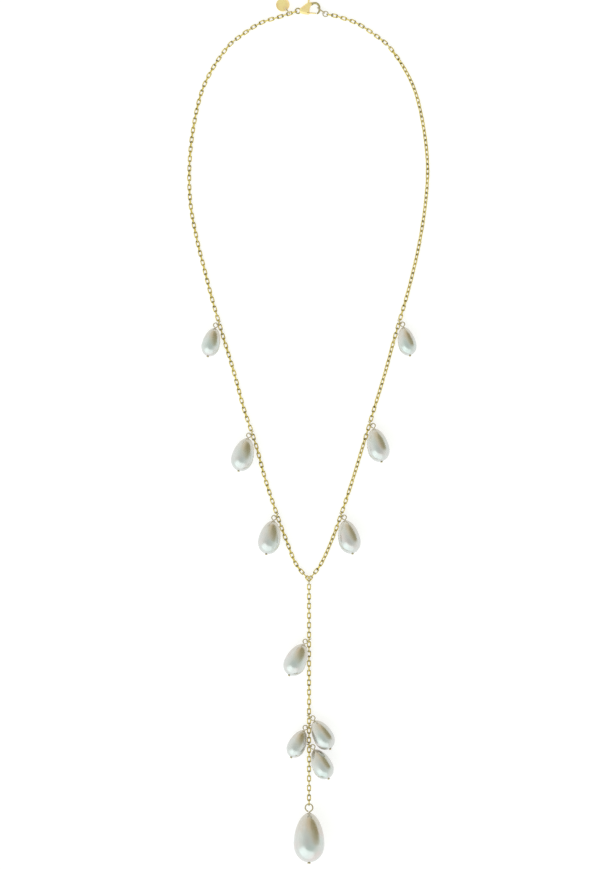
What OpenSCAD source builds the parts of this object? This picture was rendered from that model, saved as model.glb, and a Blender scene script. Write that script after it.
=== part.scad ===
// Lariat necklace of fine cable chain. Two strands meet in a ring and run on as one drop, and teardrop
// pearls hang on all three. It lies flat: X to the right, Y towards the clasp, Z up from the surface.

/* [Chain] */
// Outside length of one link
link_l = 3.45; // [3.2:0.05:3.8]
// Outside width of one link
link_w = 2; // [1.95:0.05:2.2]
// Thickness of the links' wire
link_d = 0.55; // [0.45:0.01:0.57]
// Play where two links hook
link_play = 0.15; // [0.12:0.01:0.2]

/* [Drop] */
// Length of the drop, from the middle of the junction ring to the large pearl's eye
drop_l = 101.5; // [95:1:115]
// Length of the drop's end that is held off the surface by the large pearl
rise_l = 18; // [14:1:24]

/* [Pearls] */
// Diameter of the two upper pearls and one on the drop
small_d = 8.3; // [7.6:0.1:8.8]
// Length of those
small_l = 13.6; // [12:0.1:15]
// Diameter of two pearls on the drop
medium_d = 9.4; // [8.8:0.1:9.8]
// Length of those
medium_l = 14.8; // [13.5:0.1:15.5]
// Diameter of the four lower pearls on the strands and the first on the drop
middle_d = 10.1; // [9.5:0.1:10.6]
// Length of those
middle_l = 15.8; // [14.5:0.1:17]
// Diameter of the large pearl at the end
large_d = 14.2; // [12:0.1:16]
// Length of the large pearl
large_l = 22.8; // [20:0.1:26]
// Bore along the smaller pearls
bore_d = 0.7; // [0.7:0.05:1]
// Bore along the large pearl
large_bore_d = 0.9; // [0.85:0.05:1.2]
// How far the smaller pearls tip when they lie, in degrees
small_tip = 12; // [8:0.5:14]
// How far the large pearl tips when it lies, in degrees
large_tip = 10; // [7:0.5:12]

/* [Head pins] */
// Wire of the smaller pearls' head pins
pin_d = 0.5; // [0.4:0.05:0.5]
// Outside diameter of the eyes on those pins
eye_od = 2.6; // [2.4:0.1:2.9]
// Diameter of the flat head at the end of those pins
head_d = 1.2; // [1:0.05:1.5]
// Thickness of that head
head_t = 0.5; // [0.4:0.05:0.8]
// Wire of the large pearl's head pin
large_pin_d = 0.65; // [0.5:0.05:0.65]
// Outside diameter of the eye on that pin
large_eye_od = 4.1; // [3.6:0.1:4.6]
// Diameter of the flat head at the end of that pin
large_head_d = 1.6; // [1.3:0.05:2]
// Thickness of that head
large_head_t = 0.6; // [0.5:0.05:1]

/* [Rings] */
// Outside diameter of the jump rings that carry the pearls
jump_od = 2.9; // [2.8:0.05:3.1]
// Wire of those jump rings
jump_d = 0.4; // [0.35:0.01:0.42]
// Outside diameter of the ring where the strands meet
junction_od = 3; // [2.9:0.05:3.4]
// Wire of that ring
junction_d = 0.5; // [0.4:0.05:0.5]
// Outside diameter of the ring at the end of the right strand
end_ring_od = 2.9; // [2.8:0.1:4]
// Wire of that ring
end_ring_d = 0.5; // [0.4:0.05:0.6]
// Length of the link between that ring and the clasp
end_link_l = 4.6; // [4.4:0.1:5.2]
// Width of that link
end_link_w = 2.2; // [2.2:0.05:2.4]
// Wire of that link
end_link_d = 0.5; // [0.4:0.05:0.5]

/* [Clasp] */
// Length of the clasp, over its eye and its hook
clasp_l = 11.9; // [11.4:0.1:12.6]
// Thickness of the clasp's body
clasp_t = 2.2; // [2.2:0.05:2.6]
// Bend radius of the hook, to the middle of its wire
hook_r = 2.15; // [2:0.05:2.3]
// Straight stretch between the hook's two bends
hook_side = 0.9; // [0.7:0.05:1.2]
// Thickness of the hook
hook_d = 1; // [0.9:0.02:1]
// Outside diameter of the clasp's eye
clasp_eye_od = 3; // [2.8:0.1:3.3]
// Wire of the clasp's eye
clasp_eye_d = 0.65; // [0.6:0.01:0.68]
// How far the lever's thumb piece rises above the middle of the hook
thumb_top = 4.9; // [4.7:0.1:5.2]
// Thickness of the lever
lever_t = 0.8; // [0.6:0.05:0.9]
// Width of the lever's gate
gate_w = 0.7; // [0.5:0.05:0.8]
// Play of the lever on each side, and round its rivet
lever_play = 0.12; // [0.1:0.01:0.15]
// Diameter of the rivet that the lever turns on
rivet_d = 0.7; // [0.6:0.05:0.8]

/* [Tag] */
// Diameter of the round tag
tag_d = 6.2; // [5.6:0.1:6.8]
// Thickness of the tag at its rim
tag_t = 0.7; // [0.5:0.05:0.8]
// Width of the tag's raised rim
rim_w = 0.35; // [0.25:0.05:0.5]
// Height of that rim
rim_h = 0.1; // [0.05:0.01:0.15]
// Diameter of the hole in the tag
tag_hole_d = 0.85; // [0.8:0.05:0.95]
// Outside diameter of the tag's ring
tag_ring_od = 3.4; // [3.3:0.05:3.6]
// Wire of the tag's ring
tag_ring_d = 0.4; // [0.35:0.05:0.45]

/* [Hidden] */
$fn = 32;
// Smallest gap between two pieces, the play of a hooked ring beyond it, and the lowest point of the
// chain above the surface
gap = 0.11;
ring_play = 0.06;
lift = 0.02;

// Routes of the strands, from the junction ring's middle up to the clasp
left_route = [
    [-6, 8.5], [-10.5, 19.5], [-14.5, 30.5], [-20, 47], [-24.5, 63.5], [-30, 80], [-34.5, 96.5],
    [-39.5, 113], [-44.5, 130], [-48, 143.5], [-51.5, 157.5], [-54.5, 174], [-55, 190.5],
    [-53.5, 207], [-50, 223.5], [-45, 235], [-37.5, 246], [-31, 251.5], [-22.5, 257], [-13.5, 260]
];
right_route = [
    [5.5, 8.5], [10.5, 19.5], [14.5, 30.5], [20, 47], [25, 63.5], [30, 80], [35, 96.5],
    [39.5, 113], [44.5, 130], [48, 143.5], [51, 157.5], [53.5, 174], [54.5, 190.5],
    [53, 207], [49.5, 223.5], [44.5, 235], [37, 246], [30.5, 251.5], [22, 257], [13.5, 260]
];

// Sizes of pearl, as rows of diameter, length, bore, tip, pin wire, eye diameter, head diameter and thickness
small = [small_d, small_l, bore_d, small_tip, pin_d, eye_od, head_d, head_t];
medium = [medium_d, medium_l, bore_d, small_tip, pin_d, eye_od, head_d, head_t];
middle = [middle_d, middle_l, bore_d, small_tip, pin_d, eye_od, head_d, head_t];
large = [large_d, large_l, large_bore_d, large_tip, large_pin_d, large_eye_od, large_head_d, large_head_t];

// Pearls on each chain, as rows of distance from the junction, size, and degrees that it hangs off
// straight down, to the right
left_pearls = [[127, small, -14], [75, middle, -16], [33, middle, -12]];
right_pearls = [[127, small, 13], [76, middle, 13], [33, middle, 13]];
drop_pearls = [[25.8, middle, -26], [60.7, medium, 30], [65.1, small, -26], [74, medium, 27]];
// Angle between the chain and the jump ring of a pearl
ring_turn = 66;
// How far a ring's middle lies from the wire that it hooks, and from the wire of the pin's eye
ring_to_link = 0.2;
ring_to_eye = jump_od / 2 - jump_d - gap - pin_d / 2 - ring_play;

// Share of a pearl's length above its belly, the powers and the steps of its outline above and below the
// belly, the rim round the bore, and the gap above the tip
tip_share = 0.64;
tip_power = 1.1;
end_power = 1;
tip_steps = 10;
end_steps = 7;
bore_rim = 0.2;
tip_gap = 0.15;
// A pin's head tapers over its outer half, to this share of its diameter
head_top = 0.6;

function direction(a) = [sin(a), -cos(a)];
function wire_r(od, d) = (od - d) / 2;
function unit(v) = v / norm(v);
function fade(x) = x >= 1 ? 0 : pow(cos(90 * x), 2);

// Catmull-Rom curve through points, with steps samples for each span
function spline(p, i, t) = let(
    b = p[i], c = p[i + 1],
    a = i > 0 ? p[i - 1] : 2 * b - c,
    d = i + 2 < len(p) ? p[i + 2] : 2 * c - b
) (2 * b + (c - a) * t + (2 * a - 5 * b + 4 * c - d) * t * t + (3 * b - a - 3 * c + d) * t * t * t) / 2;
function smooth(p, steps) = [
    for (i = [0 : len(p) - 2]) for (k = [0 : steps - 1]) spline(p, i, k / steps),
    p[len(p) - 1]
];
function lengths(p) = [
    for (i = 0, s = 0; i < len(p); i = i + 1, s = s + (i < len(p) ? norm(p[i] - p[i - 1]) : 0)) s
];
function along(curve, s) = [lookup(s, curve[0]), lookup(s, curve[1]), lookup(s, curve[2])];
// Direction of a curve, from two places on it a little apart
heading_step = 0.4;
function heading(curve, s) = unit(along(curve, s + heading_step) - along(curve, s - heading_step));
function total(curve) = curve[3];

// A chain's curve in space: its height fades from the start, swells at each pearl and rises at the end
start_blend = 12;
swell_l = 8;
strand_steps = 12;
drop_steps = 70;
function height(s, l, start_z, swells, end_z) = let(
    x = max(0, (s - l + rise_l) / rise_l)
) rest_z + (start_z - rest_z) * fade(s / start_blend) + (end_z - rest_z) * x * x
    + sum([for (w = swells) w[1] * fade(abs(s - w[0]) / swell_l)]);
function sum(v) = len(v) == 0 ? 0 : v * [for (x = v) 1];
function chain_curve(points, steps, start_z, swells, end_z) = let(
    flat = smooth(points, steps),
    s = lengths(flat),
    l = s[len(s) - 1],
    p = [for (i = [0 : len(flat) - 1]) [flat[i].x, flat[i].y, height(s[i], l, start_z, swells, end_z)]],
    t = lengths(p)
) [for (c = [0 : 2]) [for (i = [0 : len(p) - 1]) [t[i], p[i][c]]], t[len(t) - 1]];

// Links of a chain: even ones lie flat and odd ones stand upright
rest_z = link_w / 2 + lift;
link_r = wire_r(link_w, link_d);
pitch = link_l - 2 * link_d - link_play;
function last_link(l, first, last) = 2 * round(((l - first - last) / pitch - 1) / 2) + 1;
// A chain: its curve, the place of its first link, the spacing, and the number of its last link
function chain(curve, first, last) = let(
    n = last_link(total(curve), first, last)
) [curve, first, (total(curve) - first - last) / n, n];
function link_s(chain, k) = chain[1] + k * chain[2];
function nearest(chain, s) = 2 * round(((s - chain[1]) / chain[2] - 1) / 2) + 1;

// Pearl geometry, in the pearl's own frame: X runs from the eye through the tip to the pin's head
function eye_r(p) = wire_r(p[5], p[4]);
function eye_to_tip(p) = p[5] / 2 + tip_gap;
function tip_l(p) = tip_share * p[1];
function belly_x(p) = eye_to_tip(p) + tip_l(p);
function outline_r(p, a, power) = p[0] / 2 * pow(sin(a), power);
// Angle at which the outline is as wide as the rim round the bore
function rim_angle(p, power) = asin(pow((p[2] / 2 + bore_rim) / (p[0] / 2), 1 / power));
function outline(p) = let(
    first = rim_angle(p, tip_power), last = rim_angle(p, end_power)
) [
    for (k = [0 : tip_steps]) let(a = first + (90 - first) * k / tip_steps)
        [outline_r(p, a, tip_power), belly_x(p) - tip_l(p) * cos(a)],
    for (k = [1 : end_steps]) let(a = 90 - (90 - last) * k / end_steps)
        [outline_r(p, a, end_power), belly_x(p) + (p[1] - tip_l(p)) * cos(a)]
];
// Height of the eye's middle when the pearl lies on the surface
function eye_z(p) = max([for (q = outline(p)) q[0] * cos(p[3]) - q[1] * sin(p[3])]);
function hooked_z(p, turn) = eye_z(p) - eye_r(p) * cos(turn) * sin(p[3]);

// Height of a jump ring's middle above the middle of the link that it passes through
ring_rise = sqrt(pow(wire_r(jump_od, jump_d), 2) - pow(ring_to_link, 2));
// A pearl lifts the chain where its eye lies higher than the jump ring can reach
hook_turn = 35;
function swell(p) = max(0, hooked_z(p, hook_turn) - rest_z - ring_rise);
function swells(pearls) = [for (p = pearls) [p[0], swell(p[1])]];

// The junction ring stands upright, and holds the strands' links one over the other
junction_r = wire_r(junction_od, junction_d);
junction_z = junction_od / 2 + lift;
stack = (link_d + gap + ring_play) / 2;
link_reach = junction_od / 2 - junction_d - link_d / 2 - gap;
strand_reach = sqrt(pow(link_reach, 2) - pow(stack, 2)) - lift;

// Clasp frame: X towards the hook, Y towards its back, Z = 0 in the middle of its thickness
clasp_place = [2.8, 263.7, clasp_t / 2 + lift];
hook_x = 2;
clasp_eye_r = wire_r(clasp_eye_od, clasp_eye_d);
clasp_eye_y = -1;
clasp_eye = [hook_x + hook_d / 2 - clasp_l + clasp_eye_od / 2, clasp_eye_y];
pivot = [hook_x - 0.445 * clasp_l, -hook_side / 2 - 0.675 * hook_r];
// Angles of the hook's upper bend and of its lower one, which ends in the tip
hook_start = 138;
hook_end = 55;
hook_tip = [hook_x - hook_r + hook_r * cos(hook_end), -hook_side / 2 - hook_r * sin(hook_end)];
// The lever's round middle, and how far its slot runs behind the rivet and before it
lever_boss_d = 1.7;
slot_back = 2;
slot_front = 1.1;
// What hangs in the hook: the end link and the end ring, in plan
end_angle = -38;
end_dir = [cos(end_angle), sin(end_angle)];
hooked = [hook_x, -0.2];
hook_room = hook_d / 2 / cos(end_angle) + end_link_d / 2 * tan(-end_angle) + gap / 2;
end_link_mid = hooked + (end_link_l / 2 - end_link_d - hook_room) * end_dir;
ring_near = hooked + (end_link_l - 2 * end_link_d - hook_room - gap - end_ring_d / 2) * end_dir;
end_ring_r = wire_r(end_ring_od, end_ring_d);
end_ring_mid = plan(clasp_place) + ring_near + end_ring_r * end_dir;
function plan(v) = [v.x, v.y];

// Curves of the three chains
eye_mid = plan(clasp_place) + clasp_eye;
left_last = left_route[len(left_route) - 1];
right_last = right_route[len(right_route) - 1];
strand_start = [0, strand_reach + link_r];
left_points = concat([strand_start], left_route, [eye_mid + clasp_eye_r * unit(left_last - eye_mid)]);
right_points = concat(
    [strand_start], right_route, [end_ring_mid + end_ring_r * unit(right_last - end_ring_mid)]
);
strand_first = (link_l - link_w) / 2;
function last_gap(wire) = link_l / 2 - link_d - gap - wire / 2;
left_chain = chain(
    chain_curve(left_points, strand_steps, junction_z - stack, swells(left_pearls), clasp_place.z),
    strand_first, last_gap(clasp_eye_d)
);
right_chain = chain(
    chain_curve(right_points, strand_steps, junction_z + stack, swells(right_pearls), clasp_place.z),
    strand_first, last_gap(end_ring_d)
);
drop_end_z = hooked_z(large, 0);
drop_chain_data = chain(
    chain_curve([[0, -link_reach], [0, -drop_l]], drop_steps, junction_z, swells(drop_pearls), drop_end_z),
    link_l / 2 - link_d / 2, last_gap(large_pin_d)
);

// Tag: its ring stands upright, round the outer side of the last flat link of the left strand
tag_link_s = link_s(left_chain, left_chain[3] - 1);
tag_link = along(left_chain[0], tag_link_s);
tag_link_dir = heading(left_chain[0], tag_link_s);
tag_side = unit([-tag_link_dir.y, tag_link_dir.x]);
tag_ring_r = wire_r(tag_ring_od, tag_ring_d);
tag_ring_z = tag_ring_od / 2 + lift;
// The ring passes the link a little aslant, which takes up this much more room
tag_play = 0.03;
tag_reach = tag_ring_od / 2 - tag_ring_d - gap - link_d / 2 - tag_play;
tag_ring_off = sqrt(pow(tag_reach, 2) - pow(tag_ring_z - tag_link.z, 2));
tag_dir = unit([-0.6, 0.8]);
// From the link's outer wire to where the ring comes up through the link, in the middle of its opening
tag_back = sqrt(pow(tag_ring_r, 2) - pow(tag_ring_z - tag_link.z, 2)) - tag_ring_off;
tag_shift = tag_back * (tag_dir * plan(tag_link_dir));
tag_wire = plan(tag_link) + link_r * tag_side + tag_shift * plan(tag_link_dir);
tag_ring_mid = tag_wire + tag_ring_off * tag_dir;
// The hole lies a little in from the tag's edge, and the tag leans from there down to the surface
tag_edge = 0.38;
tag_hole_in = tag_d / 2 - tag_hole_d / 2 - tag_edge;
tag_hole_z = 1.3;
tag_lean = asin((tag_hole_z - tag_t / 2 - lift) / (tag_hole_in + tag_d / 2));
tag_hole_off = sqrt(pow(tag_ring_r, 2) - pow(tag_ring_z - tag_hole_z, 2));
tag_hole = tag_ring_mid + tag_hole_off * tag_dir;

// The whole is moved so that the middle of its box lies at the origin
top_y = clasp_place.y + thumb_top;
bottom_y = -drop_l - (eye_r(large) + eye_to_tip(large) + large_l + gap + large_head_t) * cos(large_tip);
left_x = min([for (p = left_route) p.x]);
right_x = max([for (p = right_route) p.x]);
centre = -[(left_x + right_x) / 2, (top_y + bottom_y) / 2, 0];

// One name for each piece of a row of pearls
function names(prefix, rows) = [
    for (kind = ["pearl", "pin", "ring"]) for (k = [1 : len(rows)]) str(kind, "_", prefix, "_", k)
];

module gold() {
    color("goldenrod") children();
}

module wire_ring(od, d) {
    gold() rotate_extrude() translate([wire_r(od, d), 0]) circle(d = d);
}

// Flat link, along X
module link_shape(l, w, d) {
    r = wire_r(w, d);
    side = l - w;
    gold() {
        for (turn = [-90, 90])
            translate([-sign(turn) * side / 2, 0, 0]) rotate(turn)
                rotate_extrude(angle = 180) translate([r, 0]) circle(d = d);
        for (y = [-r, r])
            translate([-side / 2, y, 0]) rotate([0, 90, 0]) cylinder(d = d, h = side);
    }
}

// Puts a piece at a place on a chain, with its X along the chain
module on_chain(chain, s) {
    t = heading(chain[0], s);
    translate(along(chain[0], s)) rotate([0, -asin(t.z), atan2(t.y, t.x)]) children();
}

module links(chain, numbers) {
    for (k = numbers)
        on_chain(chain, link_s(chain, k)) rotate([k % 2 * 90, 0, 0]) link_shape(link_l, link_w, link_d);
}

// Eight-sided tube that stands for the links between two places on a chain, with a ring every few widths
tube_step = 7.7;
module chain_tube(chain, from, to) {
    count = max(1, round((to - from) / tube_step));
    rings = [
        for (i = [0 : count]) let(
            s = from + (to - from) * i / count,
            t = heading(chain[0], s),
            side = unit(cross(t, [0, 0, 1])),
            up = cross(side, t)
        ) for (a = [0 : 45 : 315]) along(chain[0], s) + link_w / 2 * (cos(a) * side + sin(a) * up)
    ];
    gold() polyhedron(
        points = rings,
        faces = concat(
            [[for (a = [0 : 7]) 7 - a], [for (a = [0 : 7]) count * 8 + a]],
            [for (i = [0 : count - 1]) for (a = [0 : 7]) let(b = (a + 1) % 8)
                [i * 8 + a, i * 8 + b, i * 8 + 8 + b, i * 8 + 8 + a]]
        )
    );
}

// A strand: real links at its ends and at each pearl, and tubes between them. Where the strand bends round
// the neck, a real link every few links keeps each tube short
bend_links = 12;
module strand(chain, pearls) {
    n = chain[3];
    at = [for (p = [len(pearls) - 1 : -1 : 0]) nearest(chain, pearls[p][0])];
    last = at[len(at) - 1] + 1;
    real = concat(
        [0, 1], [for (k = at) for (j = [k - 1 : k + 1]) j],
        [for (k = [last + bend_links : bend_links : n - 3]) k], [n - 1, n]
    );
    links(chain, real);
    for (i = [0 : len(real) - 2])
        if (real[i + 1] > real[i] + 1)
            chain_tube(
                chain, link_s(chain, real[i]) + link_l / 2 + gap,
                link_s(chain, real[i + 1]) - link_l / 2 - gap
            );
}

module pearl_shape(p) {
    points = outline(p);
    color("whitesmoke") rotate([0, 90, 0]) rotate_extrude() polygon(concat(
        [[p[2] / 2, points[0][1]]], points, [[p[2] / 2, points[len(points) - 1][1]]]
    ));
}

module pin_shape(p) {
    head_x = outline(p)[len(outline(p)) - 1][1] + gap;
    wire_ring(p[5], p[4]);
    gold() {
        translate([eye_r(p), 0, 0]) rotate([0, 90, 0]) cylinder(d = p[4], h = head_x + p[7] / 2 - eye_r(p));
        translate([head_x, 0, 0]) rotate([0, 90, 0]) cylinder(d = p[6], h = p[7] / 2);
        translate([head_x + p[7] / 2, 0, 0]) rotate([0, 90, 0])
            cylinder(d1 = p[6], d2 = head_top * p[6], h = p[7] / 2);
    }
}

// Turns a pearl and its pin so that they lie pointing at the angle, with the eye's middle at a place
module lying(p, mid, angle) {
    translate([mid.x, mid.y, eye_z(p)]) rotate([0, -p[3], angle - 90]) children();
}

// Pieces of one pearl on a chain; down is 1 where the chain runs on downwards and -1 on the strands
module hung(kind, chain, row, down) {
    s = link_s(chain, nearest(chain, row[0]));
    t = down * heading(chain[0], s);
    chain_angle = atan2(t.x, -t.y);
    ring_angle = chain_angle + sign(row[2] - chain_angle) * ring_turn;
    out = direction(ring_angle);
    link = along(chain[0], s);
    ring_mid = plan(link) + ring_to_link * out;
    eye = ring_mid + (ring_to_eye + eye_r(row[1])) * out;
    if (kind == "ring")
        translate([ring_mid.x, ring_mid.y, link.z + ring_rise])
            rotate([90, 0, ring_angle - 90]) wire_ring(jump_od, jump_d);
    if (kind == "pin") lying(row[1], eye, row[2]) pin_shape(row[1]);
    if (kind == "pearl") lying(row[1], eye, row[2]) pearl_shape(row[1]);
}

module end_piece() {
    lying(large, [0, -drop_l - eye_r(large) * cos(large_tip)], 0) children();
}

module neck_chain_left() {
    strand(left_chain, left_pearls);
}

module neck_chain_right() {
    strand(right_chain, right_pearls);
}

module drop_chain() {
    links(drop_chain_data, [0 : drop_chain_data[3]]);
}

module junction_ring() {
    translate([0, 0, junction_z]) rotate([90, 0, 90]) wire_ring(junction_od, junction_d);
}

// Outline of the clasp's body, from the eye up its back to the hook, and back along its mouth, with X
// as shares of the clasp's length and Y as shares of the hook's height
blade = [
    [-0.6, 0], [-0.49, 0.17], [-0.365, 0.39], [-0.28, 0.48], [-0.12, 0.49], [-0.11, 0.3],
    [-0.165, 0.2], [-0.2, 0.03], [-0.21, -0.17], [-0.21, -0.44], [-0.3, -0.46], [-0.44, -0.41],
    [-0.6, -0.29]
];
hook_h = hook_side + 2 * hook_r + hook_d;
slot_t = lever_t + 2 * lever_play;

// Round bar of the hook, bent from the X axis through an angle
module hook_bend(angle) {
    rotate_extrude(angle = angle) translate([hook_r, 0]) circle(d = hook_d);
}

module clasp_body() {
    bend_x = hook_x - hook_r;
    color("gold") translate(clasp_place) {
        translate([clasp_eye.x, clasp_eye.y, 0]) wire_ring(clasp_eye_od, clasp_eye_d);
        difference() {
            translate([0, 0, -clasp_t / 2]) linear_extrude(clasp_t)
                polygon([for (p = blade) [p.x * clasp_l, p.y * hook_h]]);
            translate([pivot.x - slot_back, -hook_h, -slot_t / 2])
                cube([slot_back + slot_front, 2 * hook_h, slot_t]);
        }
        translate([pivot.x, pivot.y, -clasp_t / 2]) cylinder(d = rivet_d, h = clasp_t);
        translate([bend_x, 0, 0]) {
            translate([0, hook_side / 2, 0]) hook_bend(hook_start);
            translate([hook_r, -hook_side / 2, 0]) rotate([-90, 0, 0]) cylinder(d = hook_d, h = hook_side);
            translate([0, -hook_side / 2, 0]) mirror([0, 1, 0]) hook_bend(hook_end);
        }
    }
}

// Outline of the lever's thumb piece, from the rivet up, as shares of its height
thumb = [[-0.06, 0], [0.06, 0], [0.11, 0.79], [0.19, 0.94], [0.15, 1], [0.015, 0.97], [-0.015, 0.79]];

module clasp_lever() {
    reach = norm(hook_tip - pivot) - hook_d / 2 - gap;
    aim = atan2(hook_tip.y - pivot.y, hook_tip.x - pivot.x);
    color("khaki") translate(clasp_place) translate([pivot.x, pivot.y, -lever_t / 2])
        difference() {
            linear_extrude(lever_t) {
                circle(d = lever_boss_d);
                rotate(aim) translate([0, -gate_w / 2]) square([reach, gate_w]);
                polygon(thumb * (thumb_top - pivot.y));
            }
            translate([0, 0, -1]) cylinder(d = rivet_d + 2 * lever_play, h = lever_t + 2);
        }
}

module end_link() {
    translate(clasp_place + [end_link_mid.x, end_link_mid.y, 0])
        rotate([90, 0, atan2(end_dir.y, end_dir.x)]) link_shape(end_link_l, end_link_w, end_link_d);
}

module end_ring() {
    translate([end_ring_mid.x, end_ring_mid.y, clasp_place.z]) wire_ring(end_ring_od, end_ring_d);
}

module tag() {
    mid = tag_hole + tag_hole_in * cos(tag_lean) * tag_dir;
    color("gold") translate([mid.x, mid.y, tag_hole_z - tag_hole_in * sin(tag_lean)])
        rotate([0, tag_lean, atan2(tag_dir.y, tag_dir.x)])
            difference() {
                cylinder(d = tag_d, h = tag_t, center = true);
                for (side = [-1, 1])
                    translate([0, 0, side * tag_t / 2])
                        cylinder(d = tag_d - 2 * rim_w, h = 2 * rim_h, center = true);
                translate([-tag_hole_in, 0, 0]) cylinder(d = tag_hole_d, h = tag_t + 1, center = true);
            }
}

module tag_ring() {
    translate([tag_ring_mid.x, tag_ring_mid.y, tag_ring_z])
        rotate([90, 0, atan2(tag_dir.y, tag_dir.x)]) wire_ring(tag_ring_od, tag_ring_d);
}

module row_pieces(prefix, chain, rows, down) {
    for (kind = ["pearl", "pin", "ring"]) for (k = [1 : len(rows)])
        hung(kind, chain, rows[k - 1], down);
}

translate(centre) {
    row_pieces("left", left_chain, left_pearls, -1);
    row_pieces("right", right_chain, right_pearls, -1);
    row_pieces("drop", drop_chain_data, drop_pearls, 1);
    end_piece() pearl_shape(large);  // pearl_end
    end_piece() pin_shape(large);  // pin_end
    neck_chain_left();
    neck_chain_right();
    drop_chain();
    junction_ring();
    clasp_body();
    clasp_lever();
    end_link();
    end_ring();
    tag();
    tag_ring();
}
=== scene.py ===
"""Lariat necklace of fine gold cable chain with grey teardrop pearls, laid out flat for a picture."""

import math

import bmesh
import bpy
import numpy as np
from bpy.props import FloatProperty, FloatVectorProperty, PointerProperty
from bpy.types import Operator, Panel, PropertyGroup
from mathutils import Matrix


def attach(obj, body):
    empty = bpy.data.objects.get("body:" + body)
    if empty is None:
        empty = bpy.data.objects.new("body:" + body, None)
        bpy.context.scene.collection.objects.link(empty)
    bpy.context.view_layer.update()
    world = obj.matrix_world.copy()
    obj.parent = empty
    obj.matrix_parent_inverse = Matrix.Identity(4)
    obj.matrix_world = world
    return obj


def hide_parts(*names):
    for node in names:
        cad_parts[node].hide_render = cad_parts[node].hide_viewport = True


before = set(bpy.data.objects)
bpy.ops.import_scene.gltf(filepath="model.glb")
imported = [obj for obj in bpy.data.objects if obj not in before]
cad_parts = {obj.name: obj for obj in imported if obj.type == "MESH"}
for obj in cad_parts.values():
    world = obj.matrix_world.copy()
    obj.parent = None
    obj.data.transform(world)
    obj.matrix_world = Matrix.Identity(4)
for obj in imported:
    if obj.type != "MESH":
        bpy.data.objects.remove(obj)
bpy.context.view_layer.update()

bl_info = {
    "name": "Pearl Lariat Necklace",
    "version": (1, 0, 0),
    "blender": (4, 5, 0),
    "location": "View3D > Sidebar > Lariat",
    "description": "Builds a chain lariat with teardrop pearls, and the studio that it is pictured in",
    "category": "Add Mesh",
}

MM = 0.001
NECKLACE = "necklace"
LEVER = "lever"

# Picture size, and the picture's column and row that show the middle of the junction ring
PICTURE_W = 600
PICTURE_H = 870
JUNCTION_COLUMN = 309
JUNCTION_ROW = 582.3

# Routes of the strands in millimetres, from the junction ring's middle up to the clasp
LEFT_ROUTE = [
    (-6, 8.5), (-10.5, 19.5), (-14.5, 30.5), (-20, 47), (-24.5, 63.5), (-30, 80), (-34.5, 96.5),
    (-39.5, 113), (-44.5, 130), (-48, 143.5), (-51.5, 157.5), (-54.5, 174), (-55, 190.5),
    (-53.5, 207), (-50, 223.5), (-45, 235), (-37.5, 246), (-31, 251.5), (-22.5, 257), (-13.5, 260),
]
RIGHT_ROUTE = [
    (5.5, 8.5), (10.5, 19.5), (14.5, 30.5), (20, 47), (25, 63.5), (30, 80), (35, 96.5),
    (39.5, 113), (44.5, 130), (48, 143.5), (51, 157.5), (53.5, 174), (54.5, 190.5),
    (53, 207), (49.5, 223.5), (44.5, 235), (37, 246), (30.5, 251.5), (22, 257), (13.5, 260),
]

# Pearls on each chain: distance from the junction in millimetres, size, and degrees to the right of
# straight down
LEFT_PEARLS = [(127, "small", -14), (75, "middle", -16), (33, "middle", -12)]
RIGHT_PEARLS = [(127, "small", 13), (76, "middle", 13), (33, "middle", 13)]
DROP_PEARLS = [(25.8, "middle", -26), (60.7, "medium", 30), (65.1, "small", -26), (74, "medium", 27)]

# Smallest gap between two pieces, the play of a hooked ring, and the chain's height off the surface
GAP = 0.11 * MM
RING_PLAY = 0.06 * MM
LIFT = 0.02 * MM

# Steps of a link's bends, and sides of its wire
LINK_STEPS = 5
LINK_SIDES = 5

# How the links roll from one to the next: a quick wave of the link's number, its start, and the slow wave
# that it grows and fades by
TWIST_WAVE = 1.7
TWIST_START = 0.6
TWIST_SWELL = 0.23

# Where a strand's links stop leaning over, as a distance from the junction, and how much further each link
# leans than the one before
LEAN_END = 260 * MM
LEAN_STEP = math.radians(10)

# Where painted shade darkens a link towards its ends, from its middle, as shares of half its length: it
# stands for the shadow and dark reflection where the links hook. The least shaded link takes this share of
# the dark tone, and the depth of the painted shade comes and goes by a wave of the link's number.
PAINTED_SHADE_START = 0.48
PAINTED_SHADE_FULL = 0.78
LEAST_PAINTED_SHADE = 0.45
PAINTED_SHADE_WAVE = 2.6

# How far painted shade darkens the clasp's wire to its olive tone
WIRE_PAINTED_SHADE = 0.65

# How the chains rise and sink: the length of the blend at the start and of the swell at each pearl
START_BLEND = 12 * MM
SWELL = 8 * MM

# Steps of the chains' curves from point to point, and the stretch on each side that a heading is taken from
STRAND_STEPS = 12
DROP_STEPS = 70
HEADING_STEP = 0.4 * MM

# Angles of the jump rings to the chain and to the pearls' tips, and their distance from the link's wire
RING_TURN = math.radians(66)
HOOK_TURN = math.radians(35)
RING_TO_LINK = 0.2 * MM

# Widths of the slits where the rings are closed, and the angles in their own plane where the slits are
RING_SLIT = 0.05 * MM
END_RING_SLIT = 0.06 * MM
JUNCTION_SLIT_AT = 0.5
JUMP_SLIT_AT = 2.1
END_SLIT_AT = 1.1
TAG_SLIT_AT = 0.9

# Angles in degrees over which an edge stays sharp
RING_SHARP = 50
PIN_SHARP = 60
CLASP_SHARP = 35
LEVER_SHARP = 50
TAG_SHARP = 40

# Outline of the pearls: the share of the length above the belly, the powers above and below the belly, the
# rim round the bore, and the gap between the pin's eye and the tip
TIP_SHARE = 0.64
TIP_POWER = 1.1
END_POWER = 1
BORE_RIM = 0.2 * MM
TIP_GAP = 0.15 * MM

# Steps of that outline above and below the belly: those that a pearl's height and its pin are worked out
# from, and those of its surface, with the surface's sides
PLAIN_STEPS = (11, 8)
PEARL_STEPS = (34, 22)
PEARL_SIDES = 64

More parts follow.
